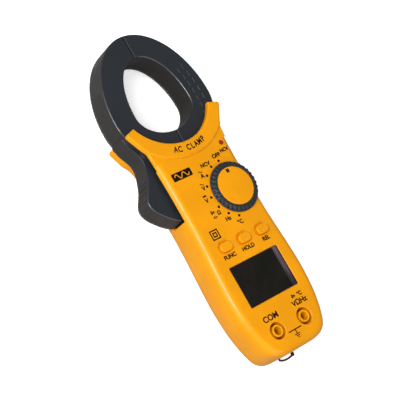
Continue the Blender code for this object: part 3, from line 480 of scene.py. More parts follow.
def turned(obj, axis, degrees, shift=(0, 0, 0)):
    """Turns a shape about an axis through the origin, then moves it by millimetres."""
    rotation = Matrix.Rotation(math.radians(degrees), 4, axis)
    obj.data.transform(Matrix.Translation(Vector(shift) * MM) @ rotation)
    return obj


def flipped(obj):
    """Mirrors a shape to the left side."""
    obj.data.transform(Matrix.Scale(-1, 4, (1, 0, 0)))
    obj.data.flip_normals()
    return obj


def finish(obj, surface, body, *nodes, smooth_angle=30):
    """Gives a piece its material and smooth round surfaces, and ties it to the frame."""
    obj.data.materials.clear()
    obj.data.materials.append(surface)
    obj.data.shade_smooth()
    obj.data.set_sharp_from_angle(angle=math.radians(smooth_angle))
    weighted = obj.modifiers.new("weighted_normals", "WEIGHTED_NORMAL")
    weighted.keep_sharp = True
    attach(obj, body)
    if nodes:
        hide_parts(*nodes)
    return obj


# ---------------------------------------------------------------- materials

class Look:
    """A node material; each input is a value, a colour or another node's output."""

    def __init__(self, name):
        self.material = bpy.data.materials.new(name)
        self.material.use_nodes = True
        self.tree = self.material.node_tree
        self.shader = self.tree.nodes["Principled BSDF"]
        self.place = self.node("TexCoord").outputs["Object"]

    def feed(self, node, inputs):
        for name, value in inputs.items():
            socket = node.inputs[name]
            if isinstance(value, bpy.types.NodeSocket):
                self.tree.links.new(value, socket)
            else:
                socket.default_value = (*value, 1.0) if socket.type == "RGBA" else value

    def node(self, kind, inputs=None, **settings):
        node = self.tree.nodes.new("ShaderNode" + kind)
        for name, value in settings.items():
            setattr(node, name, value)
        self.feed(node, inputs or {})
        return node

    def scaled(self, factors):
        return self.node("Mapping", {"Vector": self.place, "Scale": factors}).outputs["Vector"]

    def axis(self, vector, name):
        return self.node("SeparateXYZ", {"Vector": vector}).outputs[name]

    def noise(self, scale, detail=3.0, roughness=0.5, place=None):
        return self.node("TexNoise", {"Vector": place or self.place, "Scale": scale, "Detail": detail,
                                      "Roughness": roughness}).outputs["Fac"]

    def ramp(self, value, low, high, to_low=0.0, to_high=1.0):
        return self.node("MapRange", {"Value": value, "From Min": low, "From Max": high,
                                      "To Min": to_low, "To Max": to_high},
                         interpolation_type="SMOOTHSTEP").outputs["Result"]

    def mix(self, factor, first, second):
        return self.node("Mix", {0: factor, 6: first, 7: second}, data_type="RGBA").outputs[2]

    def math(self, operation, first, second=0.0):
        return self.node("Math", {0: first, 1: second}, operation=operation).outputs[0]

    def times(self, *values):
        result = values[0]
        for value in values[1:]:
            result = self.math("MULTIPLY", result, value)
        return result

    def bump(self, height, distance, strength=1.0, normal=None):
        inputs = {"Height": height, "Distance": distance * MM, "Strength": strength}
        if normal is not None:
            inputs["Normal"] = normal
        return self.node("Bump", inputs).outputs["Normal"]

    def rounded_normal(self, radius):
        return self.node("Bevel", {"Radius": radius * MM}, samples=4).outputs["Normal"]

    def edge_mask(self, rounded):
        """1 along edges, where the rounded normal leaves the true one."""
        true_normal = self.node("NewGeometry").outputs["Normal"]
        dot = self.node("VectorMath", {0: rounded, 1: true_normal}, operation="DOT_PRODUCT")
        return self.ramp(dot.outputs["Value"], 0.995, 0.9)

    def shade_mask(self, reach):
        """1 in corners and grooves, where shade falls and is painted."""
        open_sky = self.node("AmbientOcclusion", {"Distance": reach * MM}, samples=6).outputs["AO"]
        return self.ramp(open_sky, 0.85, 0.25)

    def slope_mask(self, normal):
        """1 on chamfers and fillets that hands and cables rub, 0 on level and on upright faces."""
        tilt = self.axis(normal, "Z")
        along_x, along_y = self.axis(self.place, "X"), self.axis(self.place, "Y")
        off_seam = self.ramp(self.math("ABSOLUTE", along_x), 1.2 * MM, 2.2 * MM)
        inner = self.ramp(along_x, 20.4 * MM, 19.4 * MM)
        off_lever = self.math("MAXIMUM", self.ramp(along_y, 121 * MM, 129 * MM),
                              self.ramp(along_y, 97 * MM, 91 * MM))
        patchy = self.ramp(self.noise(45.0, 2.0), 0.3, 0.6, 0.4, 1.0)
        return self.times(self.ramp(tilt, 0.3, 0.55), self.ramp(tilt, 0.96, 0.86), off_seam, inner,
                          off_lever, patchy)

    def surface(self, inputs):
        self.feed(self.shader, inputs)
        return self.material


def shade(colour, factor):
    return tuple(min(channel * factor, 1.0) for channel in colour)


def plastic(name, colour, roughness, grain_scale, grain_depth, worn, corner_shade, specular=0.5,
            polish=0.0, painted_glow=0.0, upright_light=None):
    """Moulded plastic: blotchy colour, fine grain, paler edges that are partly rubbed wear and partly
    painted highlight, painted shade in corners with an optional painted glow there, and optional painted
    light on upright faces.
    """
    look = Look(name)
    base = look.mix(look.ramp(look.noise(55.0, 4.0), 0.3, 0.7), shade(colour, 0.94), shade(colour, 1.04))
    specks = look.ramp(look.noise(1900.0, 2.0), 0.62, 0.75, 0.0, 0.35)
    base = look.mix(specks, base, shade(colour, 0.8))
    rounded = look.rounded_normal(0.35)
    # Paler colour along edges: partly rubbed wear, partly a painted highlight.
    rub_and_highlight = look.times(look.edge_mask(rounded), look.ramp(look.noise(260.0, 5.0), 0.35, 0.65, 0.25, 0.8))
    base = look.mix(rub_and_highlight, base, worn)
    # Upright faces get a lighter colour: painted light.
    if upright_light:
        upright = look.ramp(look.math("ABSOLUTE", look.axis(rounded, "Z")), 0.5, 0.2)
        base = look.mix(upright, base, upright_light)
    # Corners and grooves get a darker colour: painted shade.
    shaded_corners = look.shade_mask(1.6)
    shine = look.times(look.slope_mask(rounded), polish)
    smudges = look.noise(120.0, 5.0, 0.6)
    height = look.math("ADD", look.noise(grain_scale, 2.0),
                       look.times(look.noise(grain_scale / 7, 2.0), 0.6))
    rough = look.ramp(smudges, 0.3, 0.7, roughness - 0.05, roughness + 0.09)
    # The emission in corners and grooves is a painted glow.
    return look.surface({"Base Color": look.mix(look.times(shaded_corners, 0.7), base, corner_shade),
                         "Roughness": look.math("SUBTRACT", rough, look.times(shine, 0.12)),
                         "Normal": look.bump(height, grain_depth, 0.6, rounded),
                         "Specular IOR Level": look.math("ADD", shine, specular),
                         "Emission Color": corner_shade, "Emission Strength": look.times(shaded_corners, painted_glow)})


def metal(name, colour, roughness, along=(1, 1, 1)):
    """Metal with fine drawn or turned lines, smudges, a painted highlight along its edges and painted shade
    in its corners.
    """
    look = Look(name)
    lines = look.noise(2600.0, 3.0, place=look.scaled(along))
    smudges = look.noise(240.0, 4.0)
    rounded = look.rounded_normal(0.2)
    base = look.mix(look.ramp(smudges, 0.3, 0.7), shade(colour, 0.72), shade(colour, 1.05))
    # Lighter copy of the colour along edges: painted highlight.
    base = look.mix(look.times(look.edge_mask(rounded), 0.6), base, shade(colour, 1.35))
    # Darker copy of the colour in corners: painted shade.
    return look.surface({"Base Color": look.mix(look.shade_mask(1.2), base, shade(colour, 0.35)),
                         "Roughness": look.ramp(smudges, 0.3, 0.75, roughness, roughness + 0.2),
                         "Normal": look.bump(lines, 0.004, 0.7, rounded), "Metallic": 1.0})


def banded(name, colour, gap_colour, pitch, axis, roughness, metallic, depth):
    """Stacked or wound layers, seen as parallel bands."""
    look = Look(name)
    wave = look.node("TexWave", {"Vector": look.place, "Scale": math.pi / 10 / (pitch * MM),
                                 "Distortion": 0.6, "Detail": 2.0}, bands_direction=axis)
    band = wave.outputs["Fac"]
    tint = look.noise(180.0, 3.0)
    base = look.mix(look.ramp(tint, 0.3, 0.7), shade(colour, 0.8), shade(colour, 1.1))
    return look.surface({"Base Color": look.mix(look.ramp(band, 0.35, 0.05), base, gap_colour),
                         "Roughness": look.ramp(tint, 0.3, 0.7, roughness - 0.06, roughness + 0.1),
                         "Normal": look.bump(band, depth), "Metallic": metallic})


def window_plastic():
    """Dark display window: a faint liquid crystal tint and, on the right, a pale strip that is a painted
    reflection.
    """
    look = Look("window_plastic")
    along_x, along_y = look.axis(look.place, "X"), look.axis(look.place, "Y")
    edge = WINDOW[0] / 2
    streaks = look.noise(420.0, 3.0, place=look.scaled((6, 0.35, 1)))
    tint = look.noise(90.0, 3.0)
    base = look.mix(look.ramp(tint, 0.35, 0.65), (0.005, 0.005, 0.0035), (0.008, 0.0065, 0.005))
    # A band near the right edge, weaker towards the bottom, holds the painted reflection.
    band = look.times(look.ramp(along_x, (edge - 4.4) * MM, (edge - 2.6) * MM),
                      look.ramp(along_x, (edge - 0.7) * MM, (edge - 1.2) * MM))
    fade = look.ramp(along_y, (WINDOW_Y - 12) * MM, (WINDOW_Y + 6) * MM, 0.25, 0.85)
    painted_reflection = look.mix(look.ramp(streaks, 0.35, 0.65), (0.055, 0.038, 0.05), (0.12, 0.095, 0.115))
    return look.surface({"Base Color": look.mix(look.times(band, fade), base, painted_reflection),
                         "Roughness": look.ramp(tint, 0.3, 0.7, 0.08, 0.16),
                         "Normal": look.bump(look.noise(160.0, 2.0), 0.01),
                         "Specular IOR Level": 0.1})


def lamp_epoxy():
    """Tinted epoxy, darker low down and lighter towards the top of its dome: painted light."""
    look = Look("lamp_epoxy")
    # Lighter towards the top of the dome: painted light.
    depth = look.ramp(look.axis(look.place, "Z"), (LAMP_TOP_Z - 1.4) * MM, LAMP_TOP_Z * MM)
    cloud = look.noise(900.0, 2.0)
    base = look.mix(depth, (0.06, 0.002, 0.002), (0.26, 0.008, 0.004))
    base = look.mix(look.ramp(cloud, 0.4, 0.7, 0.0, 0.4), base, (0.12, 0.003, 0.002))
    return look.surface({"Base Color": base, "Roughness": look.ramp(cloud, 0.3, 0.7, 0.1, 0.22),
                         "Normal": look.bump(cloud, 0.01), "Specular IOR Level": 0.25})


def cord_fibre():
    """Twisted black polyester: fine fibres along each strand, with a little sheen."""
    look = Look("cord_fibre")
    fibres = look.noise(5200.0, 3.0, 0.7)
    base = look.mix(look.ramp(fibres, 0.35, 0.7), (0.003, 0.003, 0.004), (0.02, 0.019, 0.018))
    worn = look.ramp(look.noise(400.0, 3.0), 0.55, 0.8, 0.0, 0.5)
    return look.surface({"Base Color": look.mix(worn, base, (0.04, 0.037, 0.035)),
                         "Roughness": look.ramp(fibres, 0.3, 0.7, 0.65, 0.9),
                         "Normal": look.bump(fibres, 0.05), "Sheen Weight": 0.15,
                         "Specular IOR Level": 0.2})


def board_laminate():
    """Solder mask over copper tracks: square cells whose borders read as tracks, with round pads."""
    look = Look("board_laminate")
    flat = look.scaled((1, 1, 0))
    cells = look.node("TexVoronoi", {"Vector": flat, "Scale": 330.0}, distance="CHEBYCHEV")
    tracks = look.ramp(cells.outputs["Distance"], 0.42, 0.5)
    pads = look.node("TexVoronoi", {"Vector": flat, "Scale": 410.0, "Randomness": 0.7})
    pad = look.ramp(pads.outputs["Distance"], 0.24, 0.2)
    tint = look.noise(90.0, 3.0)
    base = look.mix(look.ramp(tint, 0.3, 0.7), (0.012, 0.11, 0.045), (0.02, 0.16, 0.065))
    base = look.mix(tracks, base, (0.05, 0.27, 0.11))
    return look.surface({"Base Color": look.mix(pad, base, (0.62, 0.6, 0.56)),
                         "Roughness": look.ramp(tint, 0.3, 0.7, 0.28, 0.42),
                         "Normal": look.bump(look.math("ADD", tracks, pad), 0.04)})


def display_glass():
    """Liquid crystal sheet, grey green with a faint grid of segments."""
    look = Look("display_glass_look")
    grid = look.node("TexBrick", {"Vector": look.place, "Scale": 260.0, "Mortar Size": 0.03,
                                  "Color1": (0.27, 0.31, 0.25), "Color2": (0.3, 0.34, 0.28),
                                  "Mortar": (0.2, 0.23, 0.19)})
    tint = look.noise(70.0, 2.0)
    veil = look.ramp(tint, 0.3, 0.7, 0.0, 0.35)
    return look.surface({"Base Color": look.mix(veil, grid.outputs["Color"], (0.34, 0.38, 0.34)),
                         "Roughness": look.ramp(tint, 0.3, 0.7, 0.1, 0.2),
                         "Normal": look.bump(tint, 0.01)})


def ink():
    """Pad-printed ink, slightly uneven."""
    look = Look("ink")
    cover = look.noise(1500.0, 3.0)
    base = look.mix(look.ramp(cover, 0.5, 0.8), (0.007, 0.003, 0.002), (0.03, 0.012, 0.004))
    return look.surface({"Base Color": base, "Roughness": look.ramp(cover, 0.3, 0.7, 0.5, 0.7),
                         "Normal": look.bump(cover, 0.01), "Specular IOR Level": 0.08})


# Plastic arguments: colour, roughness, grain scale and depth, paler edge colour (partly wear, partly painted
# highlight), painted shade of corners, specular, polish, painted glow in corners and painted light of
# upright faces.
LOOKS = {
    "body_yellow": plastic("body_yellow_look", (0.625, 0.243, 0.0008), 0.34, 2600.0, 0.006,
                           (0.78, 0.36, 0.01), (0.45, 0.11, 0.001), 0.14, 0.16, 0.5),
    "jaw_black": plastic("jaw_black_look", (0.0125, 0.0155, 0.019), 0.42, 4200.0, 0.02,
                         (0.1, 0.105, 0.112), (0.006, 0.006, 0.007), 0.22, 0.75, 0.0,
                         (0.019, 0.0175, 0.0165)),
    "dial_grey": plastic("dial_grey_look", (0.0125, 0.0165, 0.0195), 0.42, 4200.0, 0.015,
                         (0.09, 0.105, 0.12), (0.006, 0.006, 0.007), 0.25),
    "component_black": plastic("component_black_look", (0.02, 0.02, 0.022), 0.5, 3800.0, 0.02,
                               (0.07, 0.07, 0.072), (0.01, 0.01, 0.01)),
    "white_plastic": plastic("white_plastic_look", (0.72, 0.71, 0.67), 0.45, 2600.0, 0.01,
                             (0.8, 0.79, 0.76), (0.35, 0.33, 0.3)),
    "strip_grey": banded("strip_grey_look", (0.2, 0.2, 0.22), (0.03, 0.03, 0.03), 0.4, "X", 0.7,
                         0.0, 0.02),
    "thermistor_blue": plastic("thermistor_blue_look", (0.04, 0.1, 0.32), 0.35, 1500.0, 0.04,
                               (0.1, 0.2, 0.45), (0.01, 0.03, 0.1)),
    "steel": metal("steel_look", (0.55, 0.55, 0.57), 0.25),
    "brass": metal("brass_look", (0.78, 0.5, 0.19), 0.22, (1, 1, 6)),
    "core_iron": banded("core_iron_look", (0.32, 0.32, 0.33), (0.05, 0.045, 0.04), 0.5, "Z", 0.42,
                        1.0, 0.03),
    "copper_winding": banded("copper_winding_look", (0.62, 0.23, 0.09), (0.12, 0.03, 0.015), 0.32,
                             "Y", 0.32, 0.9, 0.1),
    "cell_wrap": plastic("cell_wrap_look", (0.035, 0.04, 0.05), 0.28, 1400.0, 0.01,
                         (0.12, 0.12, 0.13), (0.01, 0.01, 0.01)),
    "lens_dark": window_plastic(),
    "lamp_red": lamp_epoxy(),
    "cord_black": cord_fibre(),
    "board_green": board_laminate(),
    "display_glass": display_glass(),
    "ink": ink(),
}


# ---------------------------------------------------------------- case

def jaw_bore(low):
    """Cutter for the round mouth of the collar, with a rounded front lip."""
    profile = [(BORE_R, low)] + lip(BORE_R, COLLAR_Z, 0.9) + [(BORE_R + 0.9, 31)]
    return lathe("jaw_bore", profile, 180, BORE_CENTRE)


def socket_groove(x):
    """Ring around a socket for the plug's shroud; its lips are rounded at the panel."""
    inner, outer = SOCKET_GROOVE
    profile = ([(inner, SOCKET_GROOVE_Z), (outer, SOCKET_GROOVE_Z)] + lip(outer, PANEL_Z, 0.35)
               + [(outer + 0.35, 29), (inner - 0.25, 29)]
               + [(2 * inner - r, z) for r, z in reversed(lip(inner, PANEL_Z, 0.25))])
    return lathe("socket_groove", profile, 72, (x, 0), loop=True)


def socket_bore(x):
    """Wide below for the metal sleeve, narrow above it and flared at the panel."""
    shoulder = SLEEVE_TOP_Z + 0.15
    profile = ([(SOCKET_BORE_R, 8), (SOCKET_BORE_R, shoulder), (SOCKET_MOUTH_R, shoulder)]
               + lip(SOCKET_MOUTH_R, PANEL_Z, 0.35) + [(SOCKET_MOUTH_R + 0.35, 30)])
    return lathe("socket_bore", profile, 64, (x, 0))


def detent_ring():
    """Ring under the panel with one notch for every 22.5 degrees of the selector."""
    steps, notches, depth = 192, 16, 0.35
    inner, outer, crest = 7.6, 9.6, 25.1
    rings = []
    for i in range(steps):
        angle = 2 * math.pi * i / steps + math.pi / 2
        low = crest + depth * max(0.0, math.cos(notches * (angle - math.pi / 2))) ** 2
        rings.append([(*around(DIAL, r, angle), z)
                      for r, z in ((inner, low), (outer, low), (outer, 26.1), (inner, 26.1))])
    return loft("detent_ring", rings, loop=True)


def flared(name, outline, low, surface, rounding):
    """Straight cutter that widens by a rounded lip at a surface."""
    levels = [(z, -radius) for radius, z in lip(0.0, surface, rounding)]
    return prism(name, outline, [(low, 0)] + levels + [(surface + 0.6, -rounding)])


def panel_openings():
    """Cutters for what passes through the panel; none of them touch."""
    width, height = WINDOW
    bore = [(DIAL_BORE_R, 24)] + lip(DIAL_BORE_R, PANEL_Z, 0.3) + [(DIAL_BORE_R + 0.3, 30)]
    hole = LAMP_R + 0.2
    lamp = [(hole, 24)] + lip(hole, PANEL_Z, 0.2) + [(hole + 0.2, 30)]
    tools = [flared("lens_seat", rounded_box(width, height, 0.8, (0, WINDOW_Y)), LENS_SEAT_Z,
                    PANEL_Z, 0.25),
             lathe("dial_hole", bore, 64, DIAL),
             lathe("lamp_hole", lamp, 40, LAMP)]
    for node in KEYS.values():
        tools.append(flared("key_hole", inset(stadium(KEY_SIZE, middle(node)), -0.2), 24, 27.6, 0.2))
    return tools


def key_dishes():
    """Shallow dish around each key."""
    return [prism("key_dish", stadium(KEY_SIZE, middle(node)),
                  [(27.6, -0.55), (27.66, -0.8), (27.8, -1.0), (28.0, -1.2), (28.3, -1.5)])
            for node in KEYS.values()]


def bosses(nodes, radius, low, high):
    return [cylinder("boss", middle(node), radius, low, high, 28) for node in nodes]


def narrow_back(shell):
    """Curves a shell's sides in towards the back, less and less near the horns."""
    start_y, end_y = NARROWING_FADE_Y

    def narrow(bm):
        bmesh.ops.triangulate(bm, faces=bm.faces)
        for vert in bm.verts:
            depth = max(0.0, 1 - vert.co.z / (WIDEST_Z * MM))
            fade = min(max((end_y - vert.co.y / MM) / (end_y - start_y), 0), 1)
            vert.co.x *= 1 - BACK_NARROWING * depth ** 2 * fade

    edit_mesh(shell.data, narrow)
    return shell


def front_shell():
    sides = [(z, 0) for z in (SPLIT_Z + SEAM, 12, 14, 16, 18, 20, 22)]
    shell = narrow_back(prism("front_shell", body_outline, [(SPLIT_Z, SEAM)] + sides
                              + front_fillet(PANEL_Z, FRONT_FILLET, 10)))
    add(shell, prism("horns", horns_outline(),
                     [(25.9, 0.3), (26.2, 0)] + front_fillet(PANEL_Z - 0.05, 0.9, 4)))
    add(shell, prism("collar", collar_outline(), [(26.6, 0)] + front_fillet(COLLAR_Z, 1.0, 5)))
    cut(shell, jaw_bore(0))
    cut(shell, narrow_back(prism("cavity", body_outline(WALL),
                                 [(SPLIT_Z - 1, 0)] + sides[1:] + [(CEILING_Z, 0)])))
    cut(shell, cylinder("jaw_passage", COLLAR_CENTRE, JAW_PASSAGE_R, SPLIT_Z - 1, CEILING_Z + 0.03, 160))
    cut(shell, block("trigger_slot", (-40, 70.4, SPLIT_Z - 1), (-19, 101, 25.2)))
    cut(shell, block("jaw_slot", (-40, 99.5, SPLIT_Z - 1.1), (-19.5, 125, CEILING_Z + 0.06)))
    add(shell, *[boss for group in BOSSES for boss in bosses(*group)])
    add(shell, detent_ring())
    add(shell, *[cylinder("socket_housing", (x, 0), SOCKET_TUBE_R, 10.3, 26.6, 56) for x in SOCKETS])
    cut(shell, *[socket_groove(x) for x in SOCKETS])
    cut(shell, *[socket_bore(x) for x in SOCKETS])
    cut(shell, *panel_openings(), cylinder("pivot_hole", PIVOT, PIVOT_BORE_R, 24, 27.6),
        *[hole for group in PILOT_HOLES for hole in bosses(*group)])
    cut(shell, *key_dishes())
    cut(shell, prism("window", rounded_box(WINDOW[0] - 3, WINDOW[1] - 3, 0.6, (0, WINDOW_Y)),
                     [(24, 0), (27.5, 0)]))
    return finish(shell, LOOKS["body_yellow"], "case", "front_case")


def slope_back(bm):
    """Thins a shell towards the horns, keeping its rounded edges."""
    bmesh.ops.bisect_plane(bm, geom=bm.verts[:] + bm.edges[:] + bm.faces[:],
                           plane_co=(0, BACK_SLOPE_Y * MM, 0), plane_no=(0, 1, 0))
    for vert in bm.verts:
        rise = max(0.0, vert.co.y - BACK_SLOPE_Y * MM) * BACK_SLOPE_RISE
        vert.co.z = rise + vert.co.z * (1 - rise / (SPLIT_Z * MM))


def spring_pocket():
    """Ring-shaped pocket around the pivot boss, with a slot for the spring's two legs."""
    pocket = lathe("spring_pocket", [(3.7, 4.5), (6.4, 4.5), (6.4, 12), (3.7, 12)], 48, PIVOT, loop=True)
    add(pocket, block("leg_slot", (-19.6, 92, 4.4), (-8.2, 100.5, 11)))
    return pocket


def counterbores():
    """Screw recesses in the back, with rounded lips."""
    profile = [(radius, -z) for radius, z in reversed(lip(3.2, 0.0, 0.35))]
    profile = [(3.55, -0.6)] + profile + [(3.2, 5.4), (1.6, 5.4), (1.6, 12)]
    return [lathe("counterbore", profile, 48, middle(node)) for node in CASE_SCREWS]


def rear_shell():
    shell = prism("rear_shell", body_outline,
                  rear_fillet(0, REAR_FILLET, 10) + [(6.6, 0), (8.2, 0), (SPLIT_Z - SEAM, 0),
                                                     (SPLIT_Z, SEAM)])
    add(shell, prism("horns", horns_outline(), rear_fillet(0.3, 1.1, 5) + front_fillet(9.98, 0.4, 3)))
    narrow_back(shell)
    edit_mesh(shell.data, slope_back)
    cavity = narrow_back(prism("cavity", body_outline(WALL),
                               [(z, 0) for z in (WALL, 3.5, 5, 7.5, SPLIT_Z, 12)]))
    cut(cavity, block("solid_end", (-40, 95.5, 0), (40, 130, 13)))
    cut(cavity, *bosses(CASE_SCREWS, 4.2, 1.1, SPLIT_Z - 0.2))
    cut(shell, jaw_bore(-3))
    cut(shell, cavity)
    add(shell, block("bay", (-BAY_X - BAY_WALL, BAY_Y[0] - BAY_WALL, 1),
                     (BAY_X + BAY_WALL, BAY_Y[1] + BAY_WALL, BAY_TOP_Z + BAY_WALL)))
    add(shell, block("strap_block", (STRAP_X - 8, -11.2, 1.3), (STRAP_X + 8, -6.7, 8.9)))
    add(shell, cylinder("cover_boss", COVER_SCREW, 3.4, 1.2, 9.5))
    cut(shell, slab("cover_seat", cover_outline(-0.3), -2, COVER_THICKNESS + 0.3))
    cut(shell, block("bay_hollow", (-BAY_X, BAY_Y[0], -1), (BAY_X, BAY_Y[1], BAY_TOP_Z)),
        cylinder("cover_pilot", COVER_SCREW, 1.15, 0, 8.4, 24), *counterbores())
    pocket = prism("strap_pocket", rounded_box(13, 14.2, 1.2, (STRAP_X, -14.9)),
                   [(-1, -0.4), (0, -0.4), (0.4, 0), (7.9, 0)])
    cut(shell, pocket, spring_pocket())
    cut(shell, cylinder("pivot_hole", PIVOT, PIVOT_BORE_R, 3.2, 12))
    bar = turned(cylinder("strap_bar", (0, 0), STRAP_BAR_R, -7, 7), "Y", 90, (STRAP_X, *STRAP_BAR))
    add(shell, bar)
    return finish(shell, LOOKS["body_yellow"], "case", "rear_case")


# ---------------------------------------------------------------- battery door and cells

def battery_door():
    door = prism("battery_door", cover_outline(0), rear_fillet(0, 0.5, 4) + [(COVER_THICKNESS, 0)])
    skirt = block("skirt", (-10.8, 8.0, 1.2), (10.8, 55.8, 2.8))
    cut(skirt, block("skirt_hollow", (-9.8, 9.0, 0), (9.8, 54.8, 4)))
    add(door, skirt)
    grooves = [prism("grip", rounded_box(14, 1.2, 0.59, (0, 14.6 + 3 * i)),
                     [(-0.5, -0.25), (0, -0.25), (0.12, -0.07), (0.3, 0.1), (0.42, 0.3), (0.45, 0.45)])
               for i in range(5)]
    head = [(3.0, -0.5), (3.0, -0.02), (2.8, 0.1), (2.7, 0.3), (2.7, 0.95), (1.6, 0.95), (1.6, 3)]
    cut(door, *grooves, lathe("head_seat", head, 48, COVER_SCREW))
    return finish(door, LOOKS["body_yellow"], "battery_door", "battery_cover")


def cross_recess(centre, low, reach, depth):
    """Tapered cutter for a cross recess in a screw head that faces down."""
    wings = []
    for angle in (0, 90):
        half, width = reach, 0.16 * reach
        rings = [[(-half * s, -width * s, z), (half * s, -width * s, z), (half * s, width * s, z),
                  (-half * s, width * s, z)] for s, z in ((1.2, low - 0.4), (1.0, low), (0.55, low + depth))]
        wings.append(turned(loft("wing", rings), "Z", angle, (*centre, 0)))
    add(wings[0], wings[1])
    return wings[0]


def pan_screw(node, body, head_r, head, shank_r, shank_top, thread=0.18):
    """Pan-head screw with a cross recess and a thread, entering from the back."""
    centre = middle(node).xy
    low, high = head
    dome = [(head_r * math.sin(a), low + 0.45 * (high - low) * (1 - math.cos(a)))
            for a in (math.radians(12 * i) for i in range(1, 8))]
    profile = dome + [(head_r, low + 0.6 * (high - low)), (head_r - 0.08, high), (shank_r, high + 0.1)]
    turns = int((shank_top - high - 1.6) / 0.9)
    for i in range(turns):
        z = high + 0.8 + 0.9 * i
        profile += [(shank_r - thread, z), (shank_r - thread, z + 0.45), (shank_r, z + 0.6)]
    profile += [(shank_r - thread, shank_top - 0.7), (0.3, shank_top)]
    screw = lathe("fine_" + node, profile, 32, centre)
    cut(screw, cross_recess(centre, low, head_r * 0.62, 0.7 * (high - low)))
    return finish(screw, LOOKS["steel"], body, node)


def battery_cell(node, nub_up):
    """Cell with a sleeve that is rolled over its ends; its steel shows at both ends."""
    low, high = corners(node)
    radius, length = (high.x - low.x) / 2, high.y - low.y
    sleeve_end = length - 1.35
    profile = [(radius - 1.1, 0.0), (radius - 0.75, 0.1), (radius - 0.5, 0.0), (radius - 0.15, 0.12),
               (radius, 0.4), (radius, sleeve_end - 0.3), (radius - 0.15, sleeve_end),
               (radius - 0.6, sleeve_end + 0.05), (radius - 0.8, sleeve_end - 0.1), (2.3, sleeve_end - 0.1),
               (1.95, sleeve_end + 0.05), (1.9, sleeve_end + 0.3), (1.85, length - 0.1), (1.6, length)]
    cell = lathe("fine_" + node, profile, 56)
    start = low.y if nub_up else high.y
    turned(cell, "X", -90 if nub_up else 90, ((low.x + high.x) / 2, start, CELL_Z))
    finish(cell, LOOKS["cell_wrap"], "case", node)
    cell.data.materials.append(LOOKS["steel"])
    ends = (0.2, sleeve_end - 0.05)
    for face in cell.data.polygons:
        along = abs(face.center.y / MM - start)
        off_axis = (Vector((face.center.x, face.center.z)) / MM
                    - Vector(((low.x + high.x) / 2, CELL_Z))).length
        if off_axis < radius - 0.55 and not ends[0] < along < ends[1] - 0.3:
            face.material_index = 1
    return cell


# ---------------------------------------------------------------- jaws

def core_window(top):
    """Cutter for the opening in a jaw's end wall where the core's face shows."""
    outer, hole = (JAW_OUTER[1], JAW_HOLE[1]) if top else (-JAW_OUTER[2], -JAW_HOLE[2])
    ends = sorted((JAW_MID_Y + outer, JAW_MID_Y + hole))
    margin = CORE_INSET - 0.3
    return block("core_window", (-1, ends[0] + margin, CORE_Z[0] - 0.3),
                 (3, ends[1] - margin, CORE_Z[1] + 0.3))


def jaw_hollow():
    return slab("jaw_hollow", jaw_ring(JAW_SKIN, JAW_SKIN, JAW_GAP + JAW_SKIN), 11, 23.7)


def jaw_levels():
    return [(JAW_SHELL_Z, 0.12), (JAW_SHELL_Z + 0.12, 0)] + front_fillet(JAW_FRONT_Z, JAW_EDGE, 5)


def cover_levels(shift=0.0):
    return rear_fillet(JAW_BACK_Z + shift, 0.7, 4) + [(JAW_COVER_Z - 0.12 - shift, 0),
                                                     (JAW_COVER_Z - shift, 0.12)]


def moulded_marks():
    """Short raised ribs on the lower front of the fixed jaw."""
    ribs = []
    levels = [(JAW_FRONT_Z - 0.3, 0)] + front_fillet(JAW_FRONT_Z + 0.18, 0.16, 2)
    for share in (0.36, 0.64):
        rx, ry = (JAW_HOLE[i] + (JAW_OUTER[i] - JAW_HOLE[i]) * share for i in (0, 1))
        for i in range(7):
            angle = math.radians(-18 + 7.2 * i)
            centre = (rx * math.cos(angle), JAW_MID_Y + ry * math.sin(angle))
            ribs.append(prism("rib", rounded_box(0.8, 2.8, 0.38, centre, 4), levels))
    return ribs


def fixed_jaw():
    ring = jaw_ring(0, 0, JAW_GAP)
    shell = prism("fixed_jaw_shell", ring, jaw_levels())
    cut(shell, jaw_hollow())
    cut(shell, core_window(True), core_window(False))
    low_screw, high_screw = (middle(node) for node in JAW_SCREWS)
    tab_centre = ((low_screw.x + high_screw.x) / 2, low_screw.y + 2.2)
    add(shell, slab("tab", rounded_box(13.0, 11.6, 1.5, tab_centre), 12.4, 17.1))
    cut(shell, *bosses(JAW_SCREWS, 1.6, 10, 19))
    add(shell, *moulded_marks())
    finish(shell, LOOKS["jaw_black"], "case", "fixed_jaw_housing")
    cover = prism("fixed_jaw_cover", ring, cover_levels())
    finish(cover, LOOKS["jaw_black"], "case", "fixed_jaw_back_cover")


def lever_grooves():
    """Thumb grooves down the trigger's upper flank."""
    curve = smooth_curve(TRIGGER_CURVE, 12)
    grooves, spacing, travelled = [], 1.7, 0.0
    for here, after in zip(curve, curve[1:]):
        if not 88.5 < here[1] < 99.5:
            continue
        travelled += (Vector(after) - Vector(here)).length
        if travelled >= spacing:
            travelled -= spacing
            grooves.append(cylinder("groove", (here[0] - 0.12, here[1]), 0.45, 9, 24, 16))
    return grooves


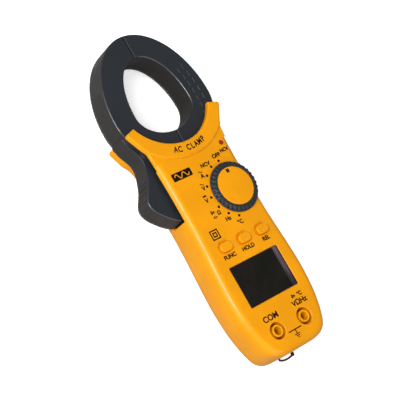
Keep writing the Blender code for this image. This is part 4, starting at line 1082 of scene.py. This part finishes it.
def moving_jaw():
    """Jaw, hub and trigger in one moulding, and the cover over its back."""
    ring = mirrored(jaw_ring(0, 0, JAW_GAP))
    neck = [(-26.4, 109.2), (-20.4, 104.6)] + arc(PIVOT, HUB_R, 180, 360, 24) + [(-8, 108), (-25, 116)]
    shell = prism("moving_jaw_shell", ring, jaw_levels())
    add(shell, slab("neck", neck, JAW_SHELL_Z + 0.05, JAW_FRONT_Z - 0.02))
    lever = prism("lever", lever_outline(), [(JAW_SHELL_Z + 0.02, 0.12), (JAW_SHELL_Z + 0.14, 0)]
                  + front_fillet(LEVER_FRONT_Z, JAW_EDGE, 5))
    cut(lever, *lever_grooves())
    add(shell, lever)
    cut(shell, flipped(jaw_hollow()))
    cut(shell, flipped(core_window(True)), flipped(core_window(False)),
        slab("lever_hollow", LEVER_HOLLOW, 11, 20.8), cylinder("pivot_bore", PIVOT, PIVOT_BORE_R, 10, 27))
    finish(shell, LOOKS["jaw_black"], "moving_jaw", "moving_jaw_housing")

    cover = prism("moving_jaw_cover", ring, cover_levels())
    add(cover, slab("neck", neck, JAW_BACK_Z + 0.02, JAW_COVER_Z - 0.02))
    lever = prism("lever", lever_outline(), cover_levels(0.04))
    cut(lever, *lever_grooves())
    add(cover, lever)
    add(cover, cylinder("peg", LEVER_PEG, LEVER_PEG_R, 7.2, 11, 24))
    cut(cover, cylinder("pivot_bore", PIVOT, PIVOT_BORE_R, 9, 13))
    finish(cover, LOOKS["jaw_black"], "moving_jaw", "moving_jaw_back_cover")


# ---------------------------------------------------------------- selector, keys, window, lamp, sockets

def knurl(angle):
    """0 between ridges, 1 on a ridge, with rounded shoulders."""
    wave = 0.5 + 0.5 * math.cos(DIAL_TEETH * angle)
    return min(1.0, max(0.0, (wave - 0.25) / 0.45)) ** 0.8


def selector_dial():
    """Knurled ring over a smooth skirt, on its shaft."""
    steps = DIAL_TEETH * 14
    shape = [(13.9, 28.3, 0), (14.1, 28.4, 0), (14.1, 28.7, 0), (13.95, 28.85, 0), (13.2, 28.95, 0.62),
             (13.2, 29.1, 0.7), (13.1, 29.6, 0.7), (12.8, 29.95, 0.62), (12.2, 30.3, 0.55),
             (11.6, 30.62, 0.45), (11.35, 30.7, 0.35), (11.05, 30.7, -0.1), (10.92, 30.6, -0.02),
             (10.9, 30.3, 0.0), (10.9, 29.6, 0.0)]
    rings = []
    for radius, z, ridge in shape:
        ring = []
        for i in range(steps):
            angle = 2 * math.pi * i / steps
            ring.append((*around(DIAL, radius + ridge * knurl(angle), angle), z))
        rings.append(ring)
    dial = loft("dial_ring", rings)
    add(dial, lathe("shaft", [(2.2, 21.4), (2.2, 24.8), (5.0, 24.8), (5.0, 29.0)], 56, DIAL))
    return finish(dial, LOOKS["dial_grey"], "selector", "selector_dial_ring")


def selector_cap():
    """Slightly domed cap with the index notch, and the dark inlay in the notch."""
    dome = [(10.6 * math.cos(a), 30.62 + 0.33 * math.sin(a))
            for a in (math.radians(10 * i) for i in range(1, 9))]
    cap = lathe("dial_cap", [(10.4, 29.9), (10.6, 30.1), (10.6, 30.5)] + dome, 120, DIAL)
    notch = rounded_box(2.2, 2.1, 0.3, (DIAL[0], DIAL[1] + 8.75), 4)
    cut(cap, slab("notch", notch, 30.3, 32))
    finish(cap, LOOKS["body_yellow"], "selector", "selector_dial_cap")
    inlay = prism("dial_index", inset(notch, 0.04), [(30.26, 0)] + front_fillet(30.62, 0.08, 2))
    finish(inlay, LOOKS["dial_grey"], "selector")


def push_key(body, node):
    """Key cap with rounded rim, slightly dished top, flange and stem."""
    centre = middle(node).xy
    cap = prism("fine_" + node, stadium(KEY_SIZE, centre),
                [(24.9, -0.9), (25.5, -0.9), (25.5, 0.0)] + front_fillet(KEY_TOP_Z, 0.6, 6)
                + [(KEY_TOP_Z - 0.02, 1.0), (KEY_TOP_Z - 0.06, 1.7)])
    add(cap, cylinder("stem", centre, 1.2, 24.2, 25.2))
    return finish(cap, LOOKS["body_yellow"], body, node)


def display_window():
    width, height = WINDOW
    lens = prism("window_lens", rounded_box(width - 0.4, height - 0.4, 0.7, (0, WINDOW_Y)),
                 [(LENS_LOW_Z, 0)] + front_fillet(LENS_TOP_Z, 0.22, 4))
    return finish(lens, LOOKS["lens_dark"], "case", "display_lens")


def lamp():
    """Domed lamp with its flange and two bent leads."""
    x, y = LAMP
    dome = [(LAMP_R * math.cos(a), LAMP_TOP_Z - 0.7 + 0.7 * math.sin(a))
            for a in (math.radians(9 * i) for i in range(10))]
    made = lathe("signal_lamp", [(LAMP_FLANGE_R, 24.3), (LAMP_FLANGE_R, 25.3), (LAMP_FLANGE_R - 0.1, 25.4),
                                 (LAMP_R, 25.4)] + dome[:-1], 40, LAMP)
    leads = []
    for side in (-0.7, 0.7):
        bend = [(x + side, y, 24.8), (x + side, y, 22.5), (x + side, y - 0.3, 21.1),
                (x + side, y - 1.5, 20.6), (x + side, y - 10, 20.3), (x + side, y - 13, 20.05)]
        leads.append(sweep("lead", smooth_curve(bend, 5), 0.25, 10))
    finish(made, LOOKS["lamp_red"], "case", "detector_lamp")
    wires = joined("lamp_leads", leads)
    finish(wires, LOOKS["steel"], "case")


def input_socket(node):
    """Turned brass sleeve with a rolled mouth and a lug bent up to the board."""
    x = middle(node).x
    low, high = corners(node)[0].z, SLEEVE_TOP_Z
    outer_r = SOCKET_BORE_R - 0.15
    profile = [(2.2, low), (2.45, low + 0.05), (outer_r, low + 0.3), (outer_r, high - 0.25),
               (outer_r - 0.12, high - 0.06), (2.35, high), (PLUG_R + 0.15, high - 0.08),
               (PLUG_R, high - 0.3), (PLUG_R, 17.0), (PLUG_R - 0.06, 16.8), (PLUG_R - 0.06, 15.4),
               (PLUG_R, 15.2), (PLUG_R, 11.1), (1.6, 10.8)]
    sleeve = lathe("fine_" + node, profile, 64, (x, 0))
    bend = [(1.3, 9.6), (1.3, 10.3), (-7.4, 10.3), (-7.8, 10.7), (-7.8, 17.75), (-8.6, 17.75),
            (-8.6, 10.2), (-8.0, 9.6)]
    add(sleeve, loft("lug", [[(x + side, y, z) for y, z in bend] for side in (-1.05, 1.05)]))
    return finish(sleeve, LOOKS["brass"], "case", node)


# ---------------------------------------------------------------- strap

def twisted_cord(name, path, radius, turns):
    """Closed loop of three strands wound around one another."""
    frames = path_frames([Vector(p) for p in path], True)
    strand_r = radius * 0.56
    offset = radius - strand_r
    made = []
    for k in range(CORD_STRANDS):
        line = []
        for i, (point, side, normal) in enumerate(frames):
            angle = 2 * math.pi * (k / CORD_STRANDS + turns * i / len(frames))
            line.append(tuple(point + offset * (side * math.cos(angle) + normal * math.sin(angle))))
        made.append(sweep("strand", line, strand_r, 10, True))
    return joined(name, made)


def wrist_cord():
    """Cord loop around the bar, tied by an overhand knot."""
    y, z = STRAP_BAR
    x = STRAP_X
    ring = STRAP_BAR_R + CORD_R + 0.3
    loop = [(x - 4.9, y - 0.4, z + ring), (x - 3.6, y + ring * 0.9, z + 1.0),
            (x, y + ring, z), (x + 3.6, y + ring * 0.9, z - 1.0), (x + 4.9, y - 0.4, z - ring),
            (x + 5.4, y - 2.2, z - 1.0), (x + 4.4, y - 3.4, z - 0.2), (x + 1.6, y - 4.1, z),
            (x - 2.0, y - 4.0, z), (x - 4.8, y - 3.0, z + 0.3), (x - 5.4, y - 2.0, z + 1.2)]
    cord = twisted_cord("wrist_cord", smooth_curve(loop, 24, closed=True), CORD_R, 22)
    finish(cord, LOOKS["cord_black"], "strap", "strap_cord", smooth_angle=60)
    centre = Vector((x + 4.5, y - 3.3, z - 0.2))
    knot = []
    for i in range(90):
        t = 2 * math.pi * i / 90
        knot.append(tuple(centre + 0.26 * Vector((math.sin(t) + 2 * math.sin(2 * t),
                                                  math.cos(t) - 2 * math.cos(2 * t),
                                                  -1.6 * math.sin(3 * t)))))
    tied = twisted_cord("cord_knot", knot, 0.42, 9)
    finish(tied, LOOKS["cord_black"], "strap", smooth_angle=60)


# ---------------------------------------------------------------- printed markings

def weld(bm):
    bmesh.ops.remove_doubles(bm, verts=bm.verts, dist=WELD * MM)


def glyphs(text, size, centre, turn=0.0, narrow=1.0):
    """Printed lettering, centred on a point of the panel."""
    curve = bpy.data.curves.new("text", "FONT")
    curve.body = text
    curve.size = size
    curve.align_x = "CENTER"
    curve.align_y = "CENTER"
    curve.extrude = INK_Z
    curve.offset = INK_SPREAD
    source = placed("text", curve)
    mesh = bpy.data.meshes.new_from_object(source)
    bpy.data.objects.remove(source)
    move = Matrix.Translation(Vector((*centre, PANEL_Z)) * MM)
    shape = Matrix.Scale(MM, 4) @ Matrix.Scale(narrow, 4, (1, 0, 0))
    mesh.transform(move @ Matrix.Rotation(turn, 4, "Z") @ shape)
    edit_mesh(mesh, weld)
    return placed("glyphs", mesh)


def printed(name, outline, depth=INK_Z):
    return slab(name, outline, PANEL_Z - depth, PANEL_Z + depth)


def stroke(points, width, depth=INK_Z):
    """Printed line through points on the panel."""
    line = [Vector(point) for point in points]
    left, right = [], []
    for i, point in enumerate(line):
        ahead = line[min(i + 1, len(line) - 1)] - line[max(i - 1, 0)]
        side = Vector((-ahead.y, ahead.x)).normalized() * width / 2
        left.append(tuple(point + side))
        right.append(tuple(point - side))
    return printed("stroke", right + left[::-1], depth)


def dot(centre, radius):
    return cylinder("dot", centre, radius, PANEL_Z - INK_Z, PANEL_Z + INK_Z, 20)


def on_dial(radius, step):
    """Point on a circle about the dial, a number of selector positions from the top."""
    return around(DIAL, radius, math.radians(90 + 22.5 * step))


def shifted(point, along_x, along_y):
    return (point[0] + along_x, point[1] + along_y)


def wavy(centre, width, height, thickness):
    points = [(centre[0] + width * (i / 12 - 0.5),
               centre[1] + height * math.sin(2 * math.pi * i / 12)) for i in range(13)]
    return stroke(points, thickness)


def diode_sign(centre):
    x, y = centre
    return [glyphs("▷", 2.2, (x - 0.2, y)), stroke([(x + 0.7, y - 0.8), (x + 0.7, y + 0.8)], 0.32),
            stroke([(x - 1.7, y), (x + 1.5, y)], 0.28)]


def capacitor_sign(centre):
    x, y = centre
    return [stroke([(x + side * 0.4, y - 0.8), (x + side * 0.4, y + 0.8)], 0.42) for side in (-1, 1)] + [
        stroke([(x + side * 0.4, y), (x + side * 1.4, y)], 0.4) for side in (-1, 1)]


def dial_legend():
    marks = [dot(on_dial(15.8, step), 0.74) for step in range(8)]
    marks += [glyphs("OFF", 3.1, on_dial(18.9, -0.05)),
              glyphs("NCV", 3.0, shifted(on_dial(19.4, 1.1), -0.6, -0.8))]
    for step, letter, sign, shift_x, shift_y in ((2, "A", "~", -0.3, -0.8), (3, "V", "~", 0.7, -0.8),
                                                 (4, "V", "⎓", 0.0, 0.0)):
        x, y = shifted(on_dial(19.2, step), shift_x, shift_y)
        marks.append(glyphs(letter, 3.2, (x, y - 0.8)))
        if sign == "~":
            marks.append(wavy((x, y + 1.5), 2.2, 0.4, 0.42))
        else:
            marks.append(glyphs(sign, 2.9, (x, y + 1.7)))
    x, y = on_dial(20.6, 5.15)
    marks += [glyphs("Ω", 2.9, (x + 2.2, y + 0.2)), *diode_sign((x - 1.2, y + 1.5)),
              *capacitor_sign((x - 1.2, y - 1.2))]
    marks += [glyphs("Hz", 3.0, on_dial(18.9, 6.05)), glyphs("°C", 3.2, on_dial(19.3, 7))]
    return marks


def key_legend():
    names = {"key_function": "FUNC", "key_hold": "HOLD", "key_relative": "REL"}
    return [glyphs(text, 3.0, (middle(node).x - 0.6, middle(node).y - 5.3)) for node, text in names.items()]


def socket_legend():
    left, right = SOCKETS
    link_y = -3.6
    gap = SOCKET_GROOVE[1] + 0.4
    marks = [glyphs("COM", 4.4, (left, 7.5)), glyphs("VΩHz", 4.0, (right + 1.8, 7.6)),
             glyphs("°C", 2.9, (right + 4.2, 11.2)), *diode_sign((right, 11.3)),
             stroke([(left + gap, link_y), (right - gap, link_y)], 0.6),
             stroke([(0, link_y), (0, link_y - 2.6)], 0.6)]
    for i, half in enumerate((1.8, 1.2, 0.5)):
        y = link_y - 2.6 - 0.85 * i
        marks.append(stroke([(-half, y), (half, y)], 0.45))
    return marks


def double_square(centre, size):
    """Plain sign of a square in a square."""
    marks = []
    for side in (size, size / 2):
        ring = printed("square", rounded_box(side, side, 0.1, centre, 1))
        cut(ring, printed("hole", rounded_box(side - 1.4, side - 1.4, 0.1, centre, 1), 1))
        marks.append(ring)
    return marks


def wave_badge(centre, width, height):
    """Plain dark plate with two cycles of a wave left open."""
    plate = printed("plate", rounded_box(width, height, 0.6, centre, 5))
    span = width - 3.0
    points = [(centre[0] + span * (i / 24 - 0.5),
               centre[1] + 0.3 * height * math.sin(4 * math.pi * i / 24)) for i in range(25)]
    cut(plate, stroke(points, 0.55, 1.0))
    return plate


def collar_legend():
    """Generic name of the tool along the collar's arc."""
    text = "AC CLAMP"
    marks = []
    for i, letter in enumerate(text):
        if letter == " ":
            continue
        angle = math.radians(-90 + 4.9 * (i - (len(text) - 1) / 2))
        centre = around(COLLAR_CENTRE, COLLAR_TEXT_R, angle)
        mark = glyphs(letter, 4.4, centre, angle + math.pi / 2, 0.8)
        mark.data.transform(Matrix.Translation((0, 0, (COLLAR_Z - PANEL_Z) * MM)))
        marks.append(mark)
    return marks


def printed_markings():
    marks = dial_legend() + key_legend() + socket_legend() + collar_legend()
    marks += double_square((-13.8, 57.5), 5.4)
    marks += [wave_badge((-13.0, 92.6), 12.6, 4.4),
              glyphs("NCV", 2.7, (LAMP[0] - 1.0, LAMP[1] - 4.2))]
    markings = joined("panel_markings", marks)
    finish(markings, LOOKS["ink"], "case")


# ---------------------------------------------------------------- CAD nodes that stay

def smoothing_group():
    """Node group that merges doubled points and smooths everything under 32 degrees."""
    group = bpy.data.node_groups.new("smooth_rounds", "GeometryNodeTree")
    group.interface.new_socket("Geometry", in_out="INPUT", socket_type="NodeSocketGeometry")
    group.interface.new_socket("Geometry", in_out="OUTPUT", socket_type="NodeSocketGeometry")
    start, end = group.nodes.new("NodeGroupInput"), group.nodes.new("NodeGroupOutput")
    merge = group.nodes.new("GeometryNodeMergeByDistance")
    merge.inputs["Distance"].default_value = 0.002 * MM
    angle = group.nodes.new("GeometryNodeInputMeshEdgeAngle")
    compare = group.nodes.new("FunctionNodeCompare")
    compare.inputs[1].default_value = math.radians(32)
    smooth_faces = group.nodes.new("GeometryNodeSetShadeSmooth")
    sharp_edges = group.nodes.new("GeometryNodeSetShadeSmooth")
    sharp_edges.domain = "EDGE"
    sharp_edges.inputs["Shade Smooth"].default_value = False
    link = group.links.new
    link(start.outputs[0], merge.inputs["Geometry"])
    link(merge.outputs[0], smooth_faces.inputs["Geometry"])
    link(smooth_faces.outputs[0], sharp_edges.inputs["Geometry"])
    link(angle.outputs["Unsigned Angle"], compare.inputs[0])
    link(compare.outputs[0], sharp_edges.inputs["Selection"])
    link(sharp_edges.outputs[0], end.inputs[0])
    return group


def dress_cad_nodes():
    """Materials and smoothing for the inner parts, which keep their CAD shapes."""
    slots = {part["node"]: part["material_slot"] for part in frame["record"]["subparts"]}
    group = smoothing_group()
    for name, node in frame["nodes"].items():
        if node.hide_render:
            continue
        node.data.materials.clear()
        node.data.materials.append(LOOKS[slots[name]])
        modifier = node.modifiers.new("smooth_rounds", "NODES")
        modifier.node_group = group


# ---------------------------------------------------------------- stage

CAMERA_TURN = (35.4, 6.84, -29.95)    # degrees of yaw, pitch and roll
CAMERA_TARGET = (-11.1, 76.9, 28.0)
CAMERA_DISTANCE = 0.654               # metres
CAMERA_LENS = 115.65                  # millimetres, on a sensor 36 mm wide
LIGHT_TARGET = (0, 80, 15)
FLOOR_REACH = 6.0                     # metres
FLOOR_DROP = 0.0001                   # metres below the meter, so that they don't flicker
FLOOR_GLOW = 0.4
FLOOR_BOUNCE = (0.4, 0.4, 0.4)
WORLD_STRENGTH = 0.5


def stage_material():
    """White sweep, darker in reflections, and clear from below, so that the back can be seen."""
    look = Look("stage_white")
    white = look.mix(look.noise(3.0, 2.0), (0.93, 0.93, 0.93), (0.96, 0.96, 0.955))
    seen = look.node("LightPath").outputs["Is Camera Ray"]
    look.surface({"Base Color": look.mix(seen, FLOOR_BOUNCE, white), "Roughness": 0.9,
                  "Specular IOR Level": 0.0, "Emission Color": (1.0, 1.0, 1.0),
                  "Emission Strength": look.times(seen, FLOOR_GLOW)})
    below = look.node("NewGeometry").outputs["Backfacing"]
    clear = look.node("BsdfTransparent").outputs[0]
    mix = look.node("MixShader", {"Fac": below, 1: look.shader.outputs[0], 2: clear})
    look.feed(look.tree.nodes["Material Output"], {"Surface": mix.outputs[0]})
    return look.material


def floor():
    height = CAD_BOX[0].z - FLOOR_DROP
    mesh = bpy.data.meshes.new("floor")
    corners_xy = [(-1, -1), (1, -1), (1, 1), (-1, 1)]
    mesh.from_pydata([(x * FLOOR_REACH, y * FLOOR_REACH, height) for x, y in corners_xy], [],
                     [(0, 1, 2, 3)])
    mesh.materials.append(stage_material())
    placed("floor", mesh)


def area_light(name, direction, distance, size, power):
    """Square soft light that faces the meter from a direction."""
    light = bpy.data.lights.new(name, "AREA")
    light.size = size
    light.energy = power
    made = placed(name, light)
    target = Vector(LIGHT_TARGET) * MM
    made.location = target + Vector(direction).normalized() * distance
    made.rotation_euler = (target - made.location).to_track_quat("-Z", "Y").to_euler()
    return made


def lighting():
    world = bpy.data.worlds.new("studio")
    world.use_nodes = True
    background = world.node_tree.nodes["Background"]
    background.inputs["Color"].default_value = (1.0, 1.0, 1.0, 1.0)
    background.inputs["Strength"].default_value = WORLD_STRENGTH
    bpy.context.scene.world = world
    area_light("key", (-0.75, 0.1, 0.75), 0.9, 0.4, 9.0)
    area_light("fill", (-0.1, -0.9, 0.8), 1.1, 0.8, 4.0)
    area_light("side", (-1.0, 0.0, 0.1), 0.8, 0.5, 3.2).visible_glossy = False


def camera():
    """Close view from above on the left, turned so that the jaws point up and to the left."""
    yaw, pitch, roll = (math.radians(angle) for angle in CAMERA_TURN)
    back = Vector((-math.sin(yaw) * math.cos(pitch), -math.sin(pitch), math.cos(yaw) * math.cos(pitch)))
    level = Vector((0, 1, 0)).cross(back).normalized()
    upright = back.cross(level)
    right = math.cos(roll) * level + math.sin(roll) * upright
    up = -math.sin(roll) * level + math.cos(roll) * upright
    data = bpy.data.cameras.new("camera")
    data.sensor_width = 36.0
    data.lens = CAMERA_LENS
    data.clip_start = 0.05
    made = placed("camera", data)
    matrix = Matrix((right, up, back)).transposed().to_4x4()
    matrix.translation = Vector(CAMERA_TARGET) * MM + back * CAMERA_DISTANCE
    made.matrix_world = matrix
    bpy.context.scene.camera = made


# ---------------------------------------------------------------- assembly

def build():
    front_shell()
    rear_shell()
    battery_door()
    for node in CASE_SCREWS:
        pan_screw(node, "case", 2.7, (3.3, 5.1), 1.15, 20.5)
    pan_screw("battery_cover_screw", "battery_door", 2.3, (-0.05, 0.7), 1.0, 8.0)
    battery_cell("battery_1", True)
    battery_cell("battery_2", False)
    fixed_jaw()
    moving_jaw()
    selector_dial()
    selector_cap()
    for body, node in KEYS.items():
        push_key(body, node)
    display_window()
    lamp()
    for node in ("input_socket_common", "input_socket_signal"):
        input_socket(node)
    wrist_cord()
    printed_markings()
    dress_cad_nodes()


build()
floor()
lighting()
camera()
bpy.context.scene.view_settings.view_transform = "Standard"
